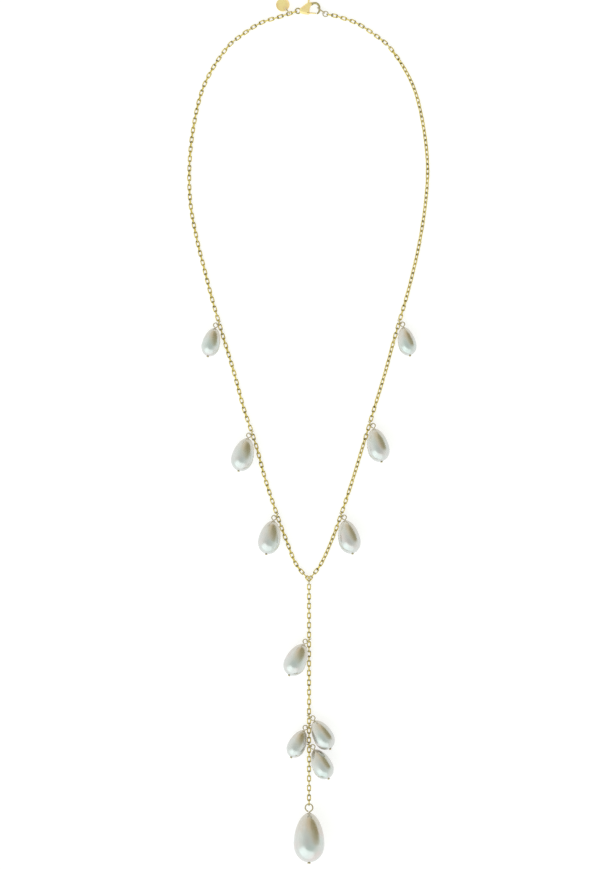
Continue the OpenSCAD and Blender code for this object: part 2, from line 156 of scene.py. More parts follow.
# Step of the rounded edge of a pearl's bore, the length along the axis over which its waver turns, and the
# turn that the waver starts from, which grows from one pearl to the next
BORE_STEP = 0.05 * MM
WAVER_LENGTH = 3 * MM
WAVER_TURN = 1.3
LARGE_WAVER_TURN = 0.4

# A pin's eye: where its wire starts and ends round it, in degrees, how far the neck stands off it as a
# share of the wire, and how much the bend from the neck bulges
EYE_START = 22
EYE_END = 350
NECK_SHARE = 0.7
NECK_BULGE = 0.04 * MM

# Profile of a pin's head, as shares of its thickness and of its radius
HEAD_PROFILE = np.array([
    (0, 0), (0, 0.9), (0.08, 0.98), (0.2, 1), (0.42, 0.99),
    (0.6, 0.93), (0.84, 0.72), (0.96, 0.5), (1, 0.25), (1, 0),
])

# Clasp frame: X towards the hook, Y towards the clasp's back
CLASP_PLACE = (2.8 * MM, 263.7 * MM)
HOOK_X = 2 * MM
CLASP_EYE_Y = -1 * MM
HOOKED = (HOOK_X, -0.2 * MM)
END_ANGLE = math.radians(-38)
HOOK_START = math.radians(138)
HOOK_END = math.radians(55)
PIVOT_SHARE = 0.445
PIVOT_DROP = 0.675
LEVER_BOSS = 1.7 * MM
SLOT_BACK = 2 * MM
SLOT_FRONT = 1.1 * MM

# Shapes of the clasp's wires, as shares of their own size: the hook's width at its start, how much it
# tapers to its tip, and its height; the gate's width at the pivot and at its tip, and its height
HOOK_SWELL = 1.12
HOOK_TAPER = 0.3
HOOK_DEPTH = 1.18
GATE_START = 1.05
GATE_TIP = 0.92
GATE_DEPTH = 1.1

# Rivet and lever: how deep the rivet's domed ends start, how high they rise, and the lever's rounded edge
RIVET_INSET = 0.12 * MM
RIVET_DOME = 0.2 * MM
LEVER_EDGE = 0.1 * MM

# Plates: the share of the length over which the ends are rounded, the power that rounds the sides, and the
# points of the edge curves, with the steps from point to point that they are spaced out from
PLATE_END = 0.08
PLATE_EDGE = 3.2
EDGE_POINTS = 60
EDGE_STEPS = 16

# Edges of the clasp's blade and of the lever's thumb piece: X as shares of the clasp's length and Y as
# shares of the hook's height, or both as shares of the thumb piece's height
BLADE_BACK = [(-0.6, 0), (-0.49, 0.17), (-0.365, 0.39), (-0.28, 0.48), (-0.2, 0.505), (-0.12, 0.49)]
BLADE_FRONT = [(-0.6, -0.29), (-0.52, -0.36), (-0.44, -0.41), (-0.3, -0.46), (-0.21, -0.44)]
BLADE_MOUTH = [(-0.12, 0.49), (-0.11, 0.3), (-0.165, 0.2), (-0.2, 0.03), (-0.21, -0.17), (-0.21, -0.44)]
THUMB_BACK = [(-0.06, 0), (-0.04, 0.4), (-0.015, 0.79), (0.015, 0.97)]
THUMB_FRONT = [(0.06, 0), (0.085, 0.4), (0.11, 0.79), (0.19, 0.94)]
THUMB_TOP = [(0.015, 0.97), (0.08, 1), (0.15, 1), (0.19, 0.94)]

# Tag: the direction that it points in, its hole's height, the edge left beside the hole, the extra room of
# its ring, which passes the link aslant, and the tag's own rounded edges
TAG_DIRECTION = np.array([-0.6, 0.8])
TAG_HOLE_Z = 1.3 * MM
TAG_EDGE = 0.38 * MM
TAG_PLAY = 0.03 * MM
TAG_BEVEL = 0.1 * MM

# How rough and how metallic the gold plate is
CHAIN_ROUGHNESS = 0.16
RING_ROUGHNESS = 0.14
CLASP_ROUGHNESS = 0.42
CLASP_METALLIC = 0.42

# Features of the gold plate: the drift of its tone, its polishing marks and its wear, with the marks' depth
GOLD_DRIFT = 3.2 * MM
GOLD_GRAIN = 0.12 * MM
GOLD_WEAR = 0.8 * MM
GRAIN_DEPTH = 0.008 * MM

# How dark the painted shade makes the plate where links hook, where the plate is least worn and by how much
# more where it is most
PAINTED_SHADE_BASE = 0.95
PAINTED_SHADE_EXTRA = 0.6

# Features of the pearls' skin: clouds of tone, veins, grain and waves, with the waves' depth
PEARL_CLOUDS = 7 * MM
PEARL_VEINS = 2.4 * MM
PEARL_GRAIN = 0.16 * MM
PEARL_WAVES = 3 * MM
WAVE_DEPTH = 0.05 * MM

# Windows of the light: azimuth and elevation in degrees, then half sizes and soft edges across and up
CARD_WINDOW = (24, 21, (0.86, 0.7), (0.6, 0.6))
CARD_MIDDLE = (47, 17, (0.66, 0.66), (0.4, 0.55))
BOX_WINDOW = (200, 32, (1.15, 0.6), (0.42, 0.1))
FLASH_WINDOW = (231, 30, (0.35, 0.58), (0.3, 0.15))

# Tints of the soft box and of its brighter part
BOX_TINT = (0.92, 1, 1)
FLASH_TINT = (1.05, 1.15, 1.15)

# The floor's half width in metres, and its height
FLOOR_HALF = 4.0
FLOOR_Z = -0.08 * MM

# How near two points are before they are one
MERGE_DISTANCE = MM / 5000

# Axes of what is turned about the vertical
UPRIGHT = np.array([[0, 0, 1.0], [1, 0, 0], [0, 1, 0]])


def size(name, description, value):
    """A length in the sidebar, given in millimetres."""
    return FloatProperty(name=name, description=description, default=value * MM, unit="LENGTH", precision=5)


def angle(name, description, value):
    """An angle in the sidebar, given in degrees."""
    return FloatProperty(name=name, description=description, default=math.radians(value), subtype="ANGLE")


def colour(name, description, value):
    """A colour in the sidebar."""
    return FloatVectorProperty(
        name=name, description=description, default=value, subtype="COLOR", min=0, max=1, size=3
    )


class LariatChain(PropertyGroup):
    """Sizes of the cable chain."""
    link_length: size("Link length", "Outside length of one link", 3.45)
    link_width: size("Link width", "Outside width of one link", 2)
    link_wire: size("Link wire", "Thickness of the links' wire", 0.55)
    link_play: size("Link play", "Play where two links hook", 0.15)
    link_twist: angle("Link twist", "How far the links roll about the chain, at most", 7)
    left_lean: angle("Left lean", "How far the left strand's links lean over between its pearls", 20)
    right_lean: angle("Right lean", "How far the right strand's links lean over between its pearls", 42)
    drop_length: size("Drop length", "From the junction ring to the large pearl's eye", 101.5)
    rise_length: size("Rise length", "End of the drop that the large pearl holds up", 18)


class LariatPearls(PropertyGroup):
    """Sizes of the pearls."""
    small_width: size("Small width", "Diameter of the small pearls", 8.3)
    small_length: size("Small length", "Length of the small pearls", 13.6)
    medium_width: size("Medium width", "Diameter of the medium pearls", 9.4)
    medium_length: size("Medium length", "Length of the medium pearls", 14.8)
    middle_width: size("Middle width", "Diameter of the middle pearls", 10.1)
    middle_length: size("Middle length", "Length of the middle pearls", 15.8)
    large_width: size("Large width", "Diameter of the large pearl", 14.2)
    large_length: size("Large length", "Length of the large pearl", 22.8)
    bore: size("Bore", "Bore along the smaller pearls", 0.7)
    large_bore: size("Large bore", "Bore along the large pearl", 0.9)
    tip: angle("Tip", "How far the smaller pearls tip when they lie", 12)
    large_tip: angle("Large tip", "How far the large pearl tips when it lies", 10)
    unevenness: FloatProperty(
        name="Unevenness", description="How far a pearl is from round, as a share of its radius",
        default=0.006, min=0, max=0.05,
    )


class LariatFindings(PropertyGroup):
    """Sizes of the head pins and rings."""
    pin_wire: size("Pin wire", "Wire of the smaller pearls' head pins", 0.5)
    pin_eye: size("Pin eye", "Outside diameter of the eyes on those pins", 2.6)
    pin_head: size("Pin head", "Diameter of the flat head at the end of those pins", 1.2)
    pin_head_thickness: size("Pin head thickness", "Thickness of that head", 0.5)
    large_pin_wire: size("Large pin wire", "Wire of the large pearl's head pin", 0.65)
    large_pin_eye: size("Large pin eye", "Outside diameter of the eye on that pin", 4.1)
    large_pin_head: size("Large pin head", "Diameter of the flat head at the end of that pin", 1.6)
    large_pin_head_thickness: size("Large pin head thickness", "Thickness of that head", 0.6)
    jump_ring: size("Jump ring", "Outside diameter of the jump rings that carry the pearls", 2.9)
    jump_wire: size("Jump wire", "Wire of the jump rings", 0.4)
    junction_ring: size("Junction ring", "Outside diameter of the ring where the strands meet", 3)
    junction_wire: size("Junction wire", "Wire of that ring", 0.5)
    end_ring: size("End ring", "Outside diameter of the ring at the end of the right strand", 2.9)
    end_ring_wire: size("End ring wire", "Wire of that ring", 0.5)
    end_link_length: size("End link length", "Length of the link between that ring and the clasp", 4.6)
    end_link_width: size("End link width", "Width of that link", 2.2)
    end_link_wire: size("End link wire", "Wire of that link", 0.5)


class LariatClasp(PropertyGroup):
    """Sizes of the lobster clasp."""
    length: size("Length", "Length of the clasp, over its eye and its hook", 11.9)
    thickness: size("Thickness", "Thickness of the clasp's body", 2.2)
    hook_radius: size("Hook radius", "Bend radius of the hook, to the middle of its wire", 2.15)
    hook_side: size("Hook side", "Straight stretch between the hook's two bends", 0.9)
    hook_wire: size("Hook wire", "Thickness of the hook", 1)
    eye: size("Eye", "Outside diameter of the clasp's eye", 3)
    eye_wire: size("Eye wire", "Wire of the clasp's eye", 0.65)
    lever: size("Lever", "Thickness of the lever", 0.8)
    gate: size("Gate", "Width of the lever's gate", 0.7)
    play: size("Play", "Play of the lever on each side", 0.12)
    rivet: size("Rivet", "Diameter of the rivet that the lever turns on", 0.7)
    thumb_top: size("Thumb top", "Height of the thumb piece above the middle of the hook", 4.9)


class LariatTag(PropertyGroup):
    """Sizes of the round tag and its ring."""
    width: size("Width", "Diameter of the tag", 6.2)
    thickness: size("Thickness", "Thickness of the tag at its rim", 0.7)
    rim_width: size("Rim width", "Width of the raised rim", 0.35)
    rim_height: size("Rim height", "Height of the raised rim", 0.1)
    hole: size("Hole", "Diameter of the hole", 0.85)
    ring: size("Ring", "Outside diameter of the tag's ring", 3.4)
    ring_wire: size("Ring wire", "Wire of the tag's ring", 0.4)


class LariatFinish(PropertyGroup):
    """Colours of the metals and pearls."""
    chain_gold: colour("Chain gold", "Pale gold plate of the links", (0.89, 0.72, 0.21))
    chain_shade: colour("Chain shade", "Deeper tone in the plate of the links", (0.69, 0.52, 0.11))
    # Painted shade: this dark tone stands for the shadow and dark reflections where the links hook into
    # each other
    painted_joint_shade: colour("Joint shade", "Dark tone where the links rub in each other", (0.07, 0.055, 0.015))
    ring_gold: colour("Ring gold", "Champagne gold of the rings and pins", (0.6, 0.53, 0.34))
    ring_shade: colour("Ring shade", "Deeper tone of the rings and pins", (0.45, 0.36, 0.21))
    clasp_gold: colour("Clasp gold", "Warm gold of the clasp and the tag", (1, 0.83, 0.37))
    clasp_shade: colour("Clasp shade", "Deeper tone of the clasp and the tag", (0.98, 0.7, 0.33))
    # Painted shade: this olive tone darkens the clasp's hook, eye and rivet
    wire_painted_shade: colour("Wire shade", "Olive tone of the clasp's wire", (0.22, 0.2, 0.08))
    pearl_cream: colour("Pearl cream", "Warm tone round the tips of the pearls", (0.61, 0.56, 0.47))
    pearl_grey: colour("Pearl grey", "Body colour of the pearls", (0.63, 0.635, 0.615))
    pearl_rose: colour("Pearl rose", "Rose overtone of the pearls", (0.67, 0.605, 0.585))
    pearl_green: colour("Pearl green", "Green overtone of the pearls", (0.59, 0.635, 0.605))


class LariatStudio(PropertyGroup):
    """The camera, the light and the floor."""
    picture_scale: size("Picture scale", "Real size of one step of the picture", 0.46)
    camera_height: size("Camera height", "Height of the camera above the surface", 1600)
    brightness: FloatProperty(
        name="Brightness", description="Strength of all the light", default=1.15, min=0
    )
    floor_glow: FloatProperty(
        name="Floor glow", description="Light that comes up through the floor", default=0.68, min=0
    )
    sky_overhead: colour("Overhead", "Light from straight above", (0.52, 0.58, 0.56))
    sky_upper: colour("Upper", "Light from halfway up", (0.8, 0.83, 0.8))
    sky_low: colour("Low", "Light from near the surface", (0.96, 0.96, 0.93))
    box_light: FloatProperty(
        name="Soft box", description="Brightness of the soft box below the picture", default=1.22, min=0
    )
    card_pale: colour("Card", "Olive card at the upper right that the pearls mirror", (0.75, 0.64, 0.46))
    card_dark: colour("Card middle", "The dark middle of that card", (0.3, 0.255, 0.1))
    backdrop: colour("Backdrop", "What a camera sees beyond the floor", (0.84, 0.85, 0.85))


# Curves


def unit(v):
    """Vectors divided by their own length."""
    return v / np.linalg.norm(v, axis=-1, keepdims=True)


def direction(a):
    """Plan direction that points down the picture, turned by an angle to the right."""
    return np.array([math.sin(a), -math.cos(a)])


def catmull_rom(points, steps):
    """Curve through points: each span is the cubic that keeps the slopes of the chords beside it, at even
    parameters, with a phantom point mirrored past each end."""
    p = np.asarray(points, float)
    p = np.vstack([2 * p[0] - p[1], p, 2 * p[-1] - p[-2]])
    a, b, c, d = p[:-3, None], p[1:-2, None], p[2:-1, None], p[3:, None]
    t = (np.arange(steps) / steps)[None, :, None]
    cubic = 2 * b + (c - a) * t + (2 * a - 5 * b + 4 * c - d) * t ** 2 + (3 * b - a - 3 * c + d) * t ** 3
    return np.vstack([cubic.reshape(-1, p.shape[1]) / 2, p[-2:-1]])


def distances(points):
    """Distance along a polyline to each of its points."""
    return np.concatenate([[0], np.cumsum(np.linalg.norm(np.diff(points, axis=0), axis=1))])


def at_distance(points, s):
    """Points at distances along a polyline, by straight interpolation of each coordinate."""
    along = distances(points)
    return np.stack([np.interp(s, along, points[:, k]) for k in range(points.shape[1])], axis=-1)


def evenly(points, count):
    """A smooth curve through points, at evenly spaced distances."""
    curve = catmull_rom(points, EDGE_STEPS)
    return at_distance(curve, np.linspace(0, distances(curve)[-1], count))


def fade(x):
    """Falls from 1 at zero to 0 at one, as the squared cosine of a quarter turn."""
    return np.where(x >= 1, 0, np.cos(np.pi / 2 * np.minimum(x, 1)) ** 2)


class Chain:
    """A chain on its curve in space. Even links lie flat and odd ones stand upright, unless they lean."""

    def __init__(self, curve, first, last_gap, pitch):
        """Spaces an even number of links from first to last_gap before the curve's end, close to pitch."""
        self.curve = curve
        self.first = first
        span = distances(curve)[-1] - first - last_gap
        self.last = 2 * round((span / pitch - 1) / 2) + 1
        self.pitch = span / self.last

    def place(self, k):
        """Distance along the curve of link k."""
        return self.first + k * self.pitch

    def nearest(self, s):
        """The upright link nearest to a distance."""
        return 2 * round(((s - self.first) / self.pitch - 1) / 2) + 1

    def at(self, s):
        """Point of the curve at a distance."""
        return at_distance(self.curve, s)

    def heading(self, s):
        """Direction of the curve at a distance, from two points a little apart."""
        return unit(self.at(s + HEADING_STEP) - self.at(s - HEADING_STEP))


class Pearl:
    """One size of pearl with its pin. Its axis starts in the middle of the pin's eye, and ends at the
    head."""

    def __init__(self, width, length, bore, tip, pin, eye, head, head_thickness):
        self.width = width
        self.length = length
        self.bore = bore
        self.tip = tip
        self.pin = pin
        self.eye = eye
        self.head = head
        self.head_thickness = head_thickness
        self.eye_r = (eye - pin) / 2
        self.upper = TIP_SHARE * length
        self.belly = eye / 2 + TIP_GAP + self.upper
        x, r = self.outline(*PLAIN_STEPS)
        self.eye_z = float(np.max(r * math.cos(tip) - x * math.sin(tip)))

    def rim_angle(self, power):
        """Angle at which an outline of that power is as wide as the rim round the bore."""
        return math.asin(((self.bore / 2 + BORE_RIM) / (self.width / 2)) ** (1 / power))

    def outline(self, upper_steps, lower_steps):
        """Outline from the tip to the round end: the radius is half the width times the sine of an angle to
        a power, and the place is the cosine of that angle times the length above or below the belly."""
        a = np.linspace(self.rim_angle(TIP_POWER), math.pi / 2, upper_steps)
        b = np.linspace(math.pi / 2, self.rim_angle(END_POWER), lower_steps)[1:]
        x = np.concatenate([
            self.belly - self.upper * np.cos(a),
            self.belly + (self.length - self.upper) * np.cos(b),
        ])
        r = self.width / 2 * np.concatenate([np.sin(a) ** TIP_POWER, np.sin(b) ** END_POWER])
        return x, r

    def hooked_z(self, turn):
        """Height of the eye's wire where a ring hooks it, at a turn from the eye's far side."""
        return self.eye_z - self.eye_r * math.cos(turn) * math.sin(self.tip)


class Layout:
    """Where every piece of the necklace lies, in metres, worked out from the sizes in the sidebar."""

    def __init__(self, scene):
        self.sizes = scene.lariat_chain
        self.findings = scene.lariat_findings
        self.clasp = scene.lariat_clasp
        self.tag = scene.lariat_tag
        self.pearls = self.pearl_sizes(scene.lariat_pearls, self.findings)
        sizes, findings, clasp = self.sizes, self.findings, self.clasp
        self.link_r = (sizes.link_width - sizes.link_wire) / 2
        self.rest_z = sizes.link_width / 2 + LIFT
        self.jump_r = (findings.jump_ring - findings.jump_wire) / 2
        self.ring_rise = math.sqrt(self.jump_r ** 2 - RING_TO_LINK ** 2)
        self.ring_to_eye = (
            findings.jump_ring / 2 - findings.jump_wire - GAP - findings.pin_wire / 2 - RING_PLAY
        )
        self.junction_r = (findings.junction_ring - findings.junction_wire) / 2
        self.junction_z = findings.junction_ring / 2 + LIFT
        self.clasp_mid = np.array([*CLASP_PLACE, clasp.thickness / 2 + LIFT])
        self.clasp_eye_r = (clasp.eye - clasp.eye_wire) / 2
        self.clasp_eye = np.array([
            HOOK_X + clasp.hook_wire / 2 - clasp.length + clasp.eye / 2, CLASP_EYE_Y
        ])
        self.pivot = np.array([
            HOOK_X - PIVOT_SHARE * clasp.length, -clasp.hook_side / 2 - PIVOT_DROP * clasp.hook_radius
        ])
        self.lay_end_pieces()
        self.lay_chains()
        self.lay_tag()
        self.centre = self.middle_of_box()

    @staticmethod
    def pearl_sizes(pearls, findings):
        """The four sizes of pearl, with the pins that go through them."""
        small_pin = (
            pearls.bore, pearls.tip, findings.pin_wire, findings.pin_eye, findings.pin_head,
            findings.pin_head_thickness,
        )
        large_pin = (
            pearls.large_bore, pearls.large_tip, findings.large_pin_wire, findings.large_pin_eye,
            findings.large_pin_head, findings.large_pin_head_thickness,
        )
        return {
            "small": Pearl(pearls.small_width, pearls.small_length, *small_pin),
            "medium": Pearl(pearls.medium_width, pearls.medium_length, *small_pin),
            "middle": Pearl(pearls.middle_width, pearls.middle_length, *small_pin),
            "large": Pearl(pearls.large_width, pearls.large_length, *large_pin),
        }

    def lay_end_pieces(self):
        """The end link and the end ring, in a line from the hook's wire along the end's direction."""
        findings, clasp = self.findings, self.clasp
        end = np.array([math.cos(END_ANGLE), math.sin(END_ANGLE)])
        room = (
            clasp.hook_wire / 2 / math.cos(END_ANGLE)
            + findings.end_link_wire / 2 * math.tan(-END_ANGLE) + GAP / 2
        )
        length, wire = findings.end_link_length, findings.end_link_wire
        self.end_link_mid = self.clasp_mid[:2] + HOOKED + (length / 2 - wire - room) * end
        near = HOOKED + (length - 2 * wire - room - GAP - findings.end_ring_wire / 2) * end
        self.end_ring_r = (findings.end_ring - findings.end_ring_wire) / 2
        self.end_ring_mid = self.clasp_mid[:2] + near + self.end_ring_r * end

    def height(self, s, start_z, swells, end_z):
        """Height of a chain: the height at rest, a fade from the height at the start, a squared rise to the
        height at the end, and a fading swell at each pearl that lifts the chain."""
        length = s[-1]
        rise = self.sizes.rise_length
        x = np.maximum(0, (s - length + rise) / rise)
        z = self.rest_z + (start_z - self.rest_z) * fade(s / START_BLEND) + (end_z - self.rest_z) * x * x
        return z + sum(lift * fade(np.abs(s - place) / SWELL) for place, lift in swells)

    def swells(self, rows):
        """How far each pearl lifts the chain where its eye is higher than the jump ring reaches."""
        return [
            (s * MM, max(0, self.pearls[size_name].hooked_z(HOOK_TURN) - self.rest_z - self.ring_rise))
            for s, size_name, _ in rows
        ]

    def curve(self, points, steps, start_z, rows, end_z):
        """A chain's smooth curve in plan, lifted to its height at every point."""
        flat = catmull_rom(points, steps)
        z = self.height(distances(flat), start_z, self.swells(rows), end_z)
        return np.column_stack([flat, z])

    def last_gap(self, wire):
        """Distance from the last link's middle to the middle of the wire that it hooks."""
        return self.sizes.link_length / 2 - self.sizes.link_wire - GAP - wire / 2

    def lay_chains(self):
        """The two strands, one over the other in the junction ring, and the drop below them."""
        sizes, findings = self.sizes, self.findings
        stack = (sizes.link_wire + GAP + RING_PLAY) / 2
        reach = findings.junction_ring / 2 - findings.junction_wire - sizes.link_wire / 2 - GAP
        start = [0, math.sqrt(reach ** 2 - stack ** 2) - LIFT + self.link_r]
        left, right = np.array(LEFT_ROUTE) * MM, np.array(RIGHT_ROUTE) * MM
        eye = self.clasp_mid[:2] + self.clasp_eye
        left_end = eye + self.clasp_eye_r * unit(left[-1] - eye)
        right_end = self.end_ring_mid + self.end_ring_r * unit(right[-1] - self.end_ring_mid)
        pitch = sizes.link_length - 2 * sizes.link_wire - sizes.link_play
        first = (sizes.link_length - sizes.link_width) / 2
        clasp_z = self.clasp_mid[2]
        left_curve = self.curve(
            np.vstack([start, left, left_end]), STRAND_STEPS,
            self.junction_z - stack, LEFT_PEARLS, clasp_z,
        )
        right_curve = self.curve(
            np.vstack([start, right, right_end]), STRAND_STEPS,
            self.junction_z + stack, RIGHT_PEARLS, clasp_z,
        )
        drop_curve = self.curve(
            [(0, -reach), (0, -sizes.drop_length)], DROP_STEPS, self.junction_z, DROP_PEARLS,
            self.pearls["large"].hooked_z(0),
        )
        self.left = Chain(left_curve, first, self.last_gap(self.clasp.eye_wire), pitch)
        self.right = Chain(right_curve, first, self.last_gap(findings.end_ring_wire), pitch)
        first = (sizes.link_length - sizes.link_wire) / 2
        self.drop = Chain(drop_curve, first, self.last_gap(findings.large_pin_wire), pitch)

    def lay_tag(self):
        """The tag's ring stands upright through the last flat link of the left strand, and the tag leans
        from the ring down to the surface."""
        tag = self.tag
        ring_r = (tag.ring - tag.ring_wire) / 2
        self.tag_ring_r = ring_r
        self.tag_ring_z = tag.ring / 2 + LIFT
        s = self.left.place(self.left.last - 1)
        link, along = self.left.at(s), self.left.heading(s)
        side = unit(np.array([-along[1], along[0]]))
        rise = self.tag_ring_z - link[2]
        reach = tag.ring / 2 - tag.ring_wire - GAP - self.sizes.link_wire / 2 - TAG_PLAY
        off = math.sqrt(reach ** 2 - rise ** 2)
        back = math.sqrt(ring_r ** 2 - rise ** 2) - off
        shift = back * float(TAG_DIRECTION @ along[:2])
        wire = link[:2] + self.link_r * side + shift * along[:2]
        self.tag_ring_mid = wire + off * TAG_DIRECTION
        hole_in = (tag.width - tag.hole) / 2 - TAG_EDGE
        self.tag_hole_in = hole_in
        self.tag_lean = math.asin((TAG_HOLE_Z - tag.thickness / 2 - LIFT) / (hole_in + tag.width / 2))
        hole_off = math.sqrt(ring_r ** 2 - (self.tag_ring_z - TAG_HOLE_Z) ** 2)
        hole = self.tag_ring_mid + hole_off * TAG_DIRECTION
        mid = hole + hole_in * math.cos(self.tag_lean) * TAG_DIRECTION
        self.tag_mid = np.array([*mid, TAG_HOLE_Z - hole_in * math.sin(self.tag_lean)])

    def middle_of_box(self):
        """Move that brings the middle of the necklace's box to the origin, in plan."""
        large = self.pearls["large"]
        top = self.clasp_mid[1] + self.clasp.thumb_top
        reach = large.eye_r + large.eye / 2 + TIP_GAP + large.length + GAP + large.head_thickness
        bottom = -self.sizes.drop_length - reach * math.cos(large.tip)
        left = min(x for x, y in LEFT_ROUTE) * MM
        right = max(x for x, y in RIGHT_ROUTE) * MM
        return -np.array([(left + right) / 2, (top + bottom) / 2, 0])

    def hung(self, chain, row, down):
        """Places of one pearl's jump ring and eye. down is 1 where the chain runs on downwards, and -1 on
        the strands. The ring leans away from the chain on the side that the pearl hangs."""
        distance, size_name, off_plumb = row
        pearl = self.pearls[size_name]
        s = chain.place(chain.nearest(distance * MM))
        along = down * chain.heading(s)
        chain_angle = math.atan2(along[0], -along[1])
        pearl_angle = math.radians(off_plumb)
        ring_angle = chain_angle + math.copysign(RING_TURN, pearl_angle - chain_angle)
        out = direction(ring_angle)
        link = chain.at(s)
        ring = link[:2] + RING_TO_LINK * out
        eye = ring + (self.ring_to_eye + pearl.eye_r) * out
        return {
            "pearl": pearl,
            "ring_mid": np.array([*ring, link[2] + self.ring_rise]),
            "ring_out": np.array([*out, 0]),
            "eye": np.array([*eye, pearl.eye_z]),
            "axes": lying_axes(pearl_angle, pearl.tip),
        }

    def end_pearl(self):
        """Place of the large pearl, straight below the end of the drop."""
        pearl = self.pearls["large"]
        y = -self.sizes.drop_length - pearl.eye_r * math.cos(pearl.tip)
        return {"pearl": pearl, "eye": np.array([0, y, pearl.eye_z]), "axes": lying_axes(0, pearl.tip)}

    def rows(self):
        """Every pearl that hangs on a jump ring, with the name of its place."""
        for side, chain, rows, down in (
            ("left", self.left, LEFT_PEARLS, -1),
            ("right", self.right, RIGHT_PEARLS, -1),
            ("drop", self.drop, DROP_PEARLS, 1),
        ):
            for k, row in enumerate(rows, 1):
                yield f"{side}_{k}", self.hung(chain, row, down)


def lying_axes(plan_angle, tip):
    """Axes of a lying pearl: the first runs from its eye to its head and rises by the tip, the second is
    level, and the third stands on both."""
    out = direction(plan_angle)
    along = np.array([*(out * math.cos(tip)), math.sin(tip)])
    level = np.array([math.cos(plan_angle), math.sin(plan_angle), 0])
    return np.array([along, level, np.cross(along, level)])


def plan_axes(a):
    """Axes turned about the vertical by an angle."""
    return np.array([[math.cos(a), math.sin(a), 0], [-math.sin(a), math.cos(a), 0], [0, 0, 1]])


# Surfaces


def grid(points, closed_u=False, closed_v=False):
    """Vertices and four-sided faces of a surface whose points are given on a grid of two parameters. A
    closed surface whose faces turn inwards, by the sign of the volume that they hold, is turned round."""
    rows, columns = points.shape[:2]
    i = np.arange(rows if closed_u else rows - 1)[:, None]
    j = np.arange(columns if closed_v else columns - 1)[None, :]
    i2, j2 = (i + 1) % rows, (j + 1) % columns
    faces = np.stack([i * columns + j, i * columns + j2, i2 * columns + j2, i2 * columns + j], axis=-1)
    faces = faces.reshape(-1, 4)
    vertices = points.reshape(-1, 3)
    local = vertices - vertices.mean(axis=0)
    a, b, c, d = (local[faces[:, k]] for k in range(4))
    volume = np.sum(a * np.cross(b, c)) + np.sum(a * np.cross(c, d))
    return vertices, faces if volume > 0 else faces[:, ::-1]


def tube(path, radius, normal, sides, closed=False, depth=None):
    """A round or oval bar along a flat path: round each point, the cosine of an angle times the radius goes
    across the path, and the sine times the depth goes along the path plane's normal."""
    path = np.asarray(path, float)
    radius = np.broadcast_to(radius, len(path))
    depth = radius if depth is None else np.broadcast_to(depth, len(path))
    if closed:
        along = np.roll(path, -1, axis=0) - np.roll(path, 1, axis=0)
    else:
        along = np.gradient(path, axis=0)
        along[0], along[-1] = path[2] - path[1], path[-2] - path[-3]
    normal = np.asarray(normal, float)
    across = unit(np.cross(normal, along))
    turn = np.linspace(0, 2 * np.pi, sides, endpoint=False)[None, :, None]
    points = (
        path[:, None] + radius[:, None, None] * np.cos(turn) * across[:, None]
        + depth[:, None, None] * np.sin(turn) * normal
    )
    return grid(points, closed_u=closed, closed_v=True)


def flat_ends(path, radius):
    """A path and its radii, closed at both ends by a flat face."""
    radius = np.broadcast_to(radius, len(path))
    return np.vstack([path[:1], path, path[-1:]]), np.concatenate([[0], radius, [0]])


def round_ends(path, radius, steps=4):
    """A path and its radii, closed at both ends by half balls: the radius is a cosine, the place a sine."""
    radius = np.broadcast_to(radius, len(path)).astype(float)
    a = np.linspace(np.pi / 2, 0, steps, endpoint=False)
    start = path[0] + np.sin(a)[:, None] * radius[0] * unit(path[0] - path[1])
    end = path[-1] + np.sin(a[::-1])[:, None] * radius[-1] * unit(path[-1] - path[-2])
    first, last = np.cos(a) * radius[0], np.cos(a[::-1]) * radius[-1]
    return np.vstack([start, path, end]), np.concatenate([first, radius, last])


def turned(x, r, origin, axes, sides, closed=True, bend=None):
    """A profile turned about the first axis: a point has its place along that axis, and its radius times
    the cosine and the sine of an angle along the other two. bend scales the radius by place and angle."""
    turn = np.linspace(0, 2 * np.pi, sides, endpoint=False)
    radius = r[:, None] * (np.ones(sides) if bend is None else bend(x[:, None], turn[None, :]))
    place = np.broadcast_to(x[:, None], radius.shape)
    local = np.stack([place, radius * np.cos(turn), radius * np.sin(turn)], axis=-1)
    return grid(origin + local @ axes, closed_u=closed, closed_v=True)


def ring(origin, radius, wire, out, up, slit=0.0, place=0.0, around=40, sides=10):
    """A round ring of wire in the plane of two directions, as cosine and sine. With a slit it is cut open
    by that width at an angle, as a jump ring is, and has flat ends."""
    out, up = unit(np.asarray(out, float)), unit(np.asarray(up, float))
    if slit:
        half = slit / radius / 2
        a = np.linspace(place + half, place + 2 * np.pi - half, around)
    else:
        a = np.linspace(0, 2 * np.pi, around, endpoint=False)
    path = origin + radius * (np.cos(a)[:, None] * out + np.sin(a)[:, None] * up)
    if not slit:
        return tube(path, wire / 2, np.cross(out, up), sides, closed=True)
    path, radii = flat_ends(path, wire / 2)
    return tube(path, radii, np.cross(out, up), sides)


def oval_link(length, width, wire, arc_steps, sides):
    """A link in its own frame: a wire along two half circles joined by two straight sides."""
    r = (width - wire) / 2
    half = (length - width) / 2
    a = np.linspace(-np.pi / 2, np.pi / 2, arc_steps + 1)
    right = np.column_stack([half + r * np.cos(a), r * np.sin(a), 0 * a])
    path = np.vstack([right, -right])
    return tube(path, wire / 2, (0, 0, 1), sides, closed=True)


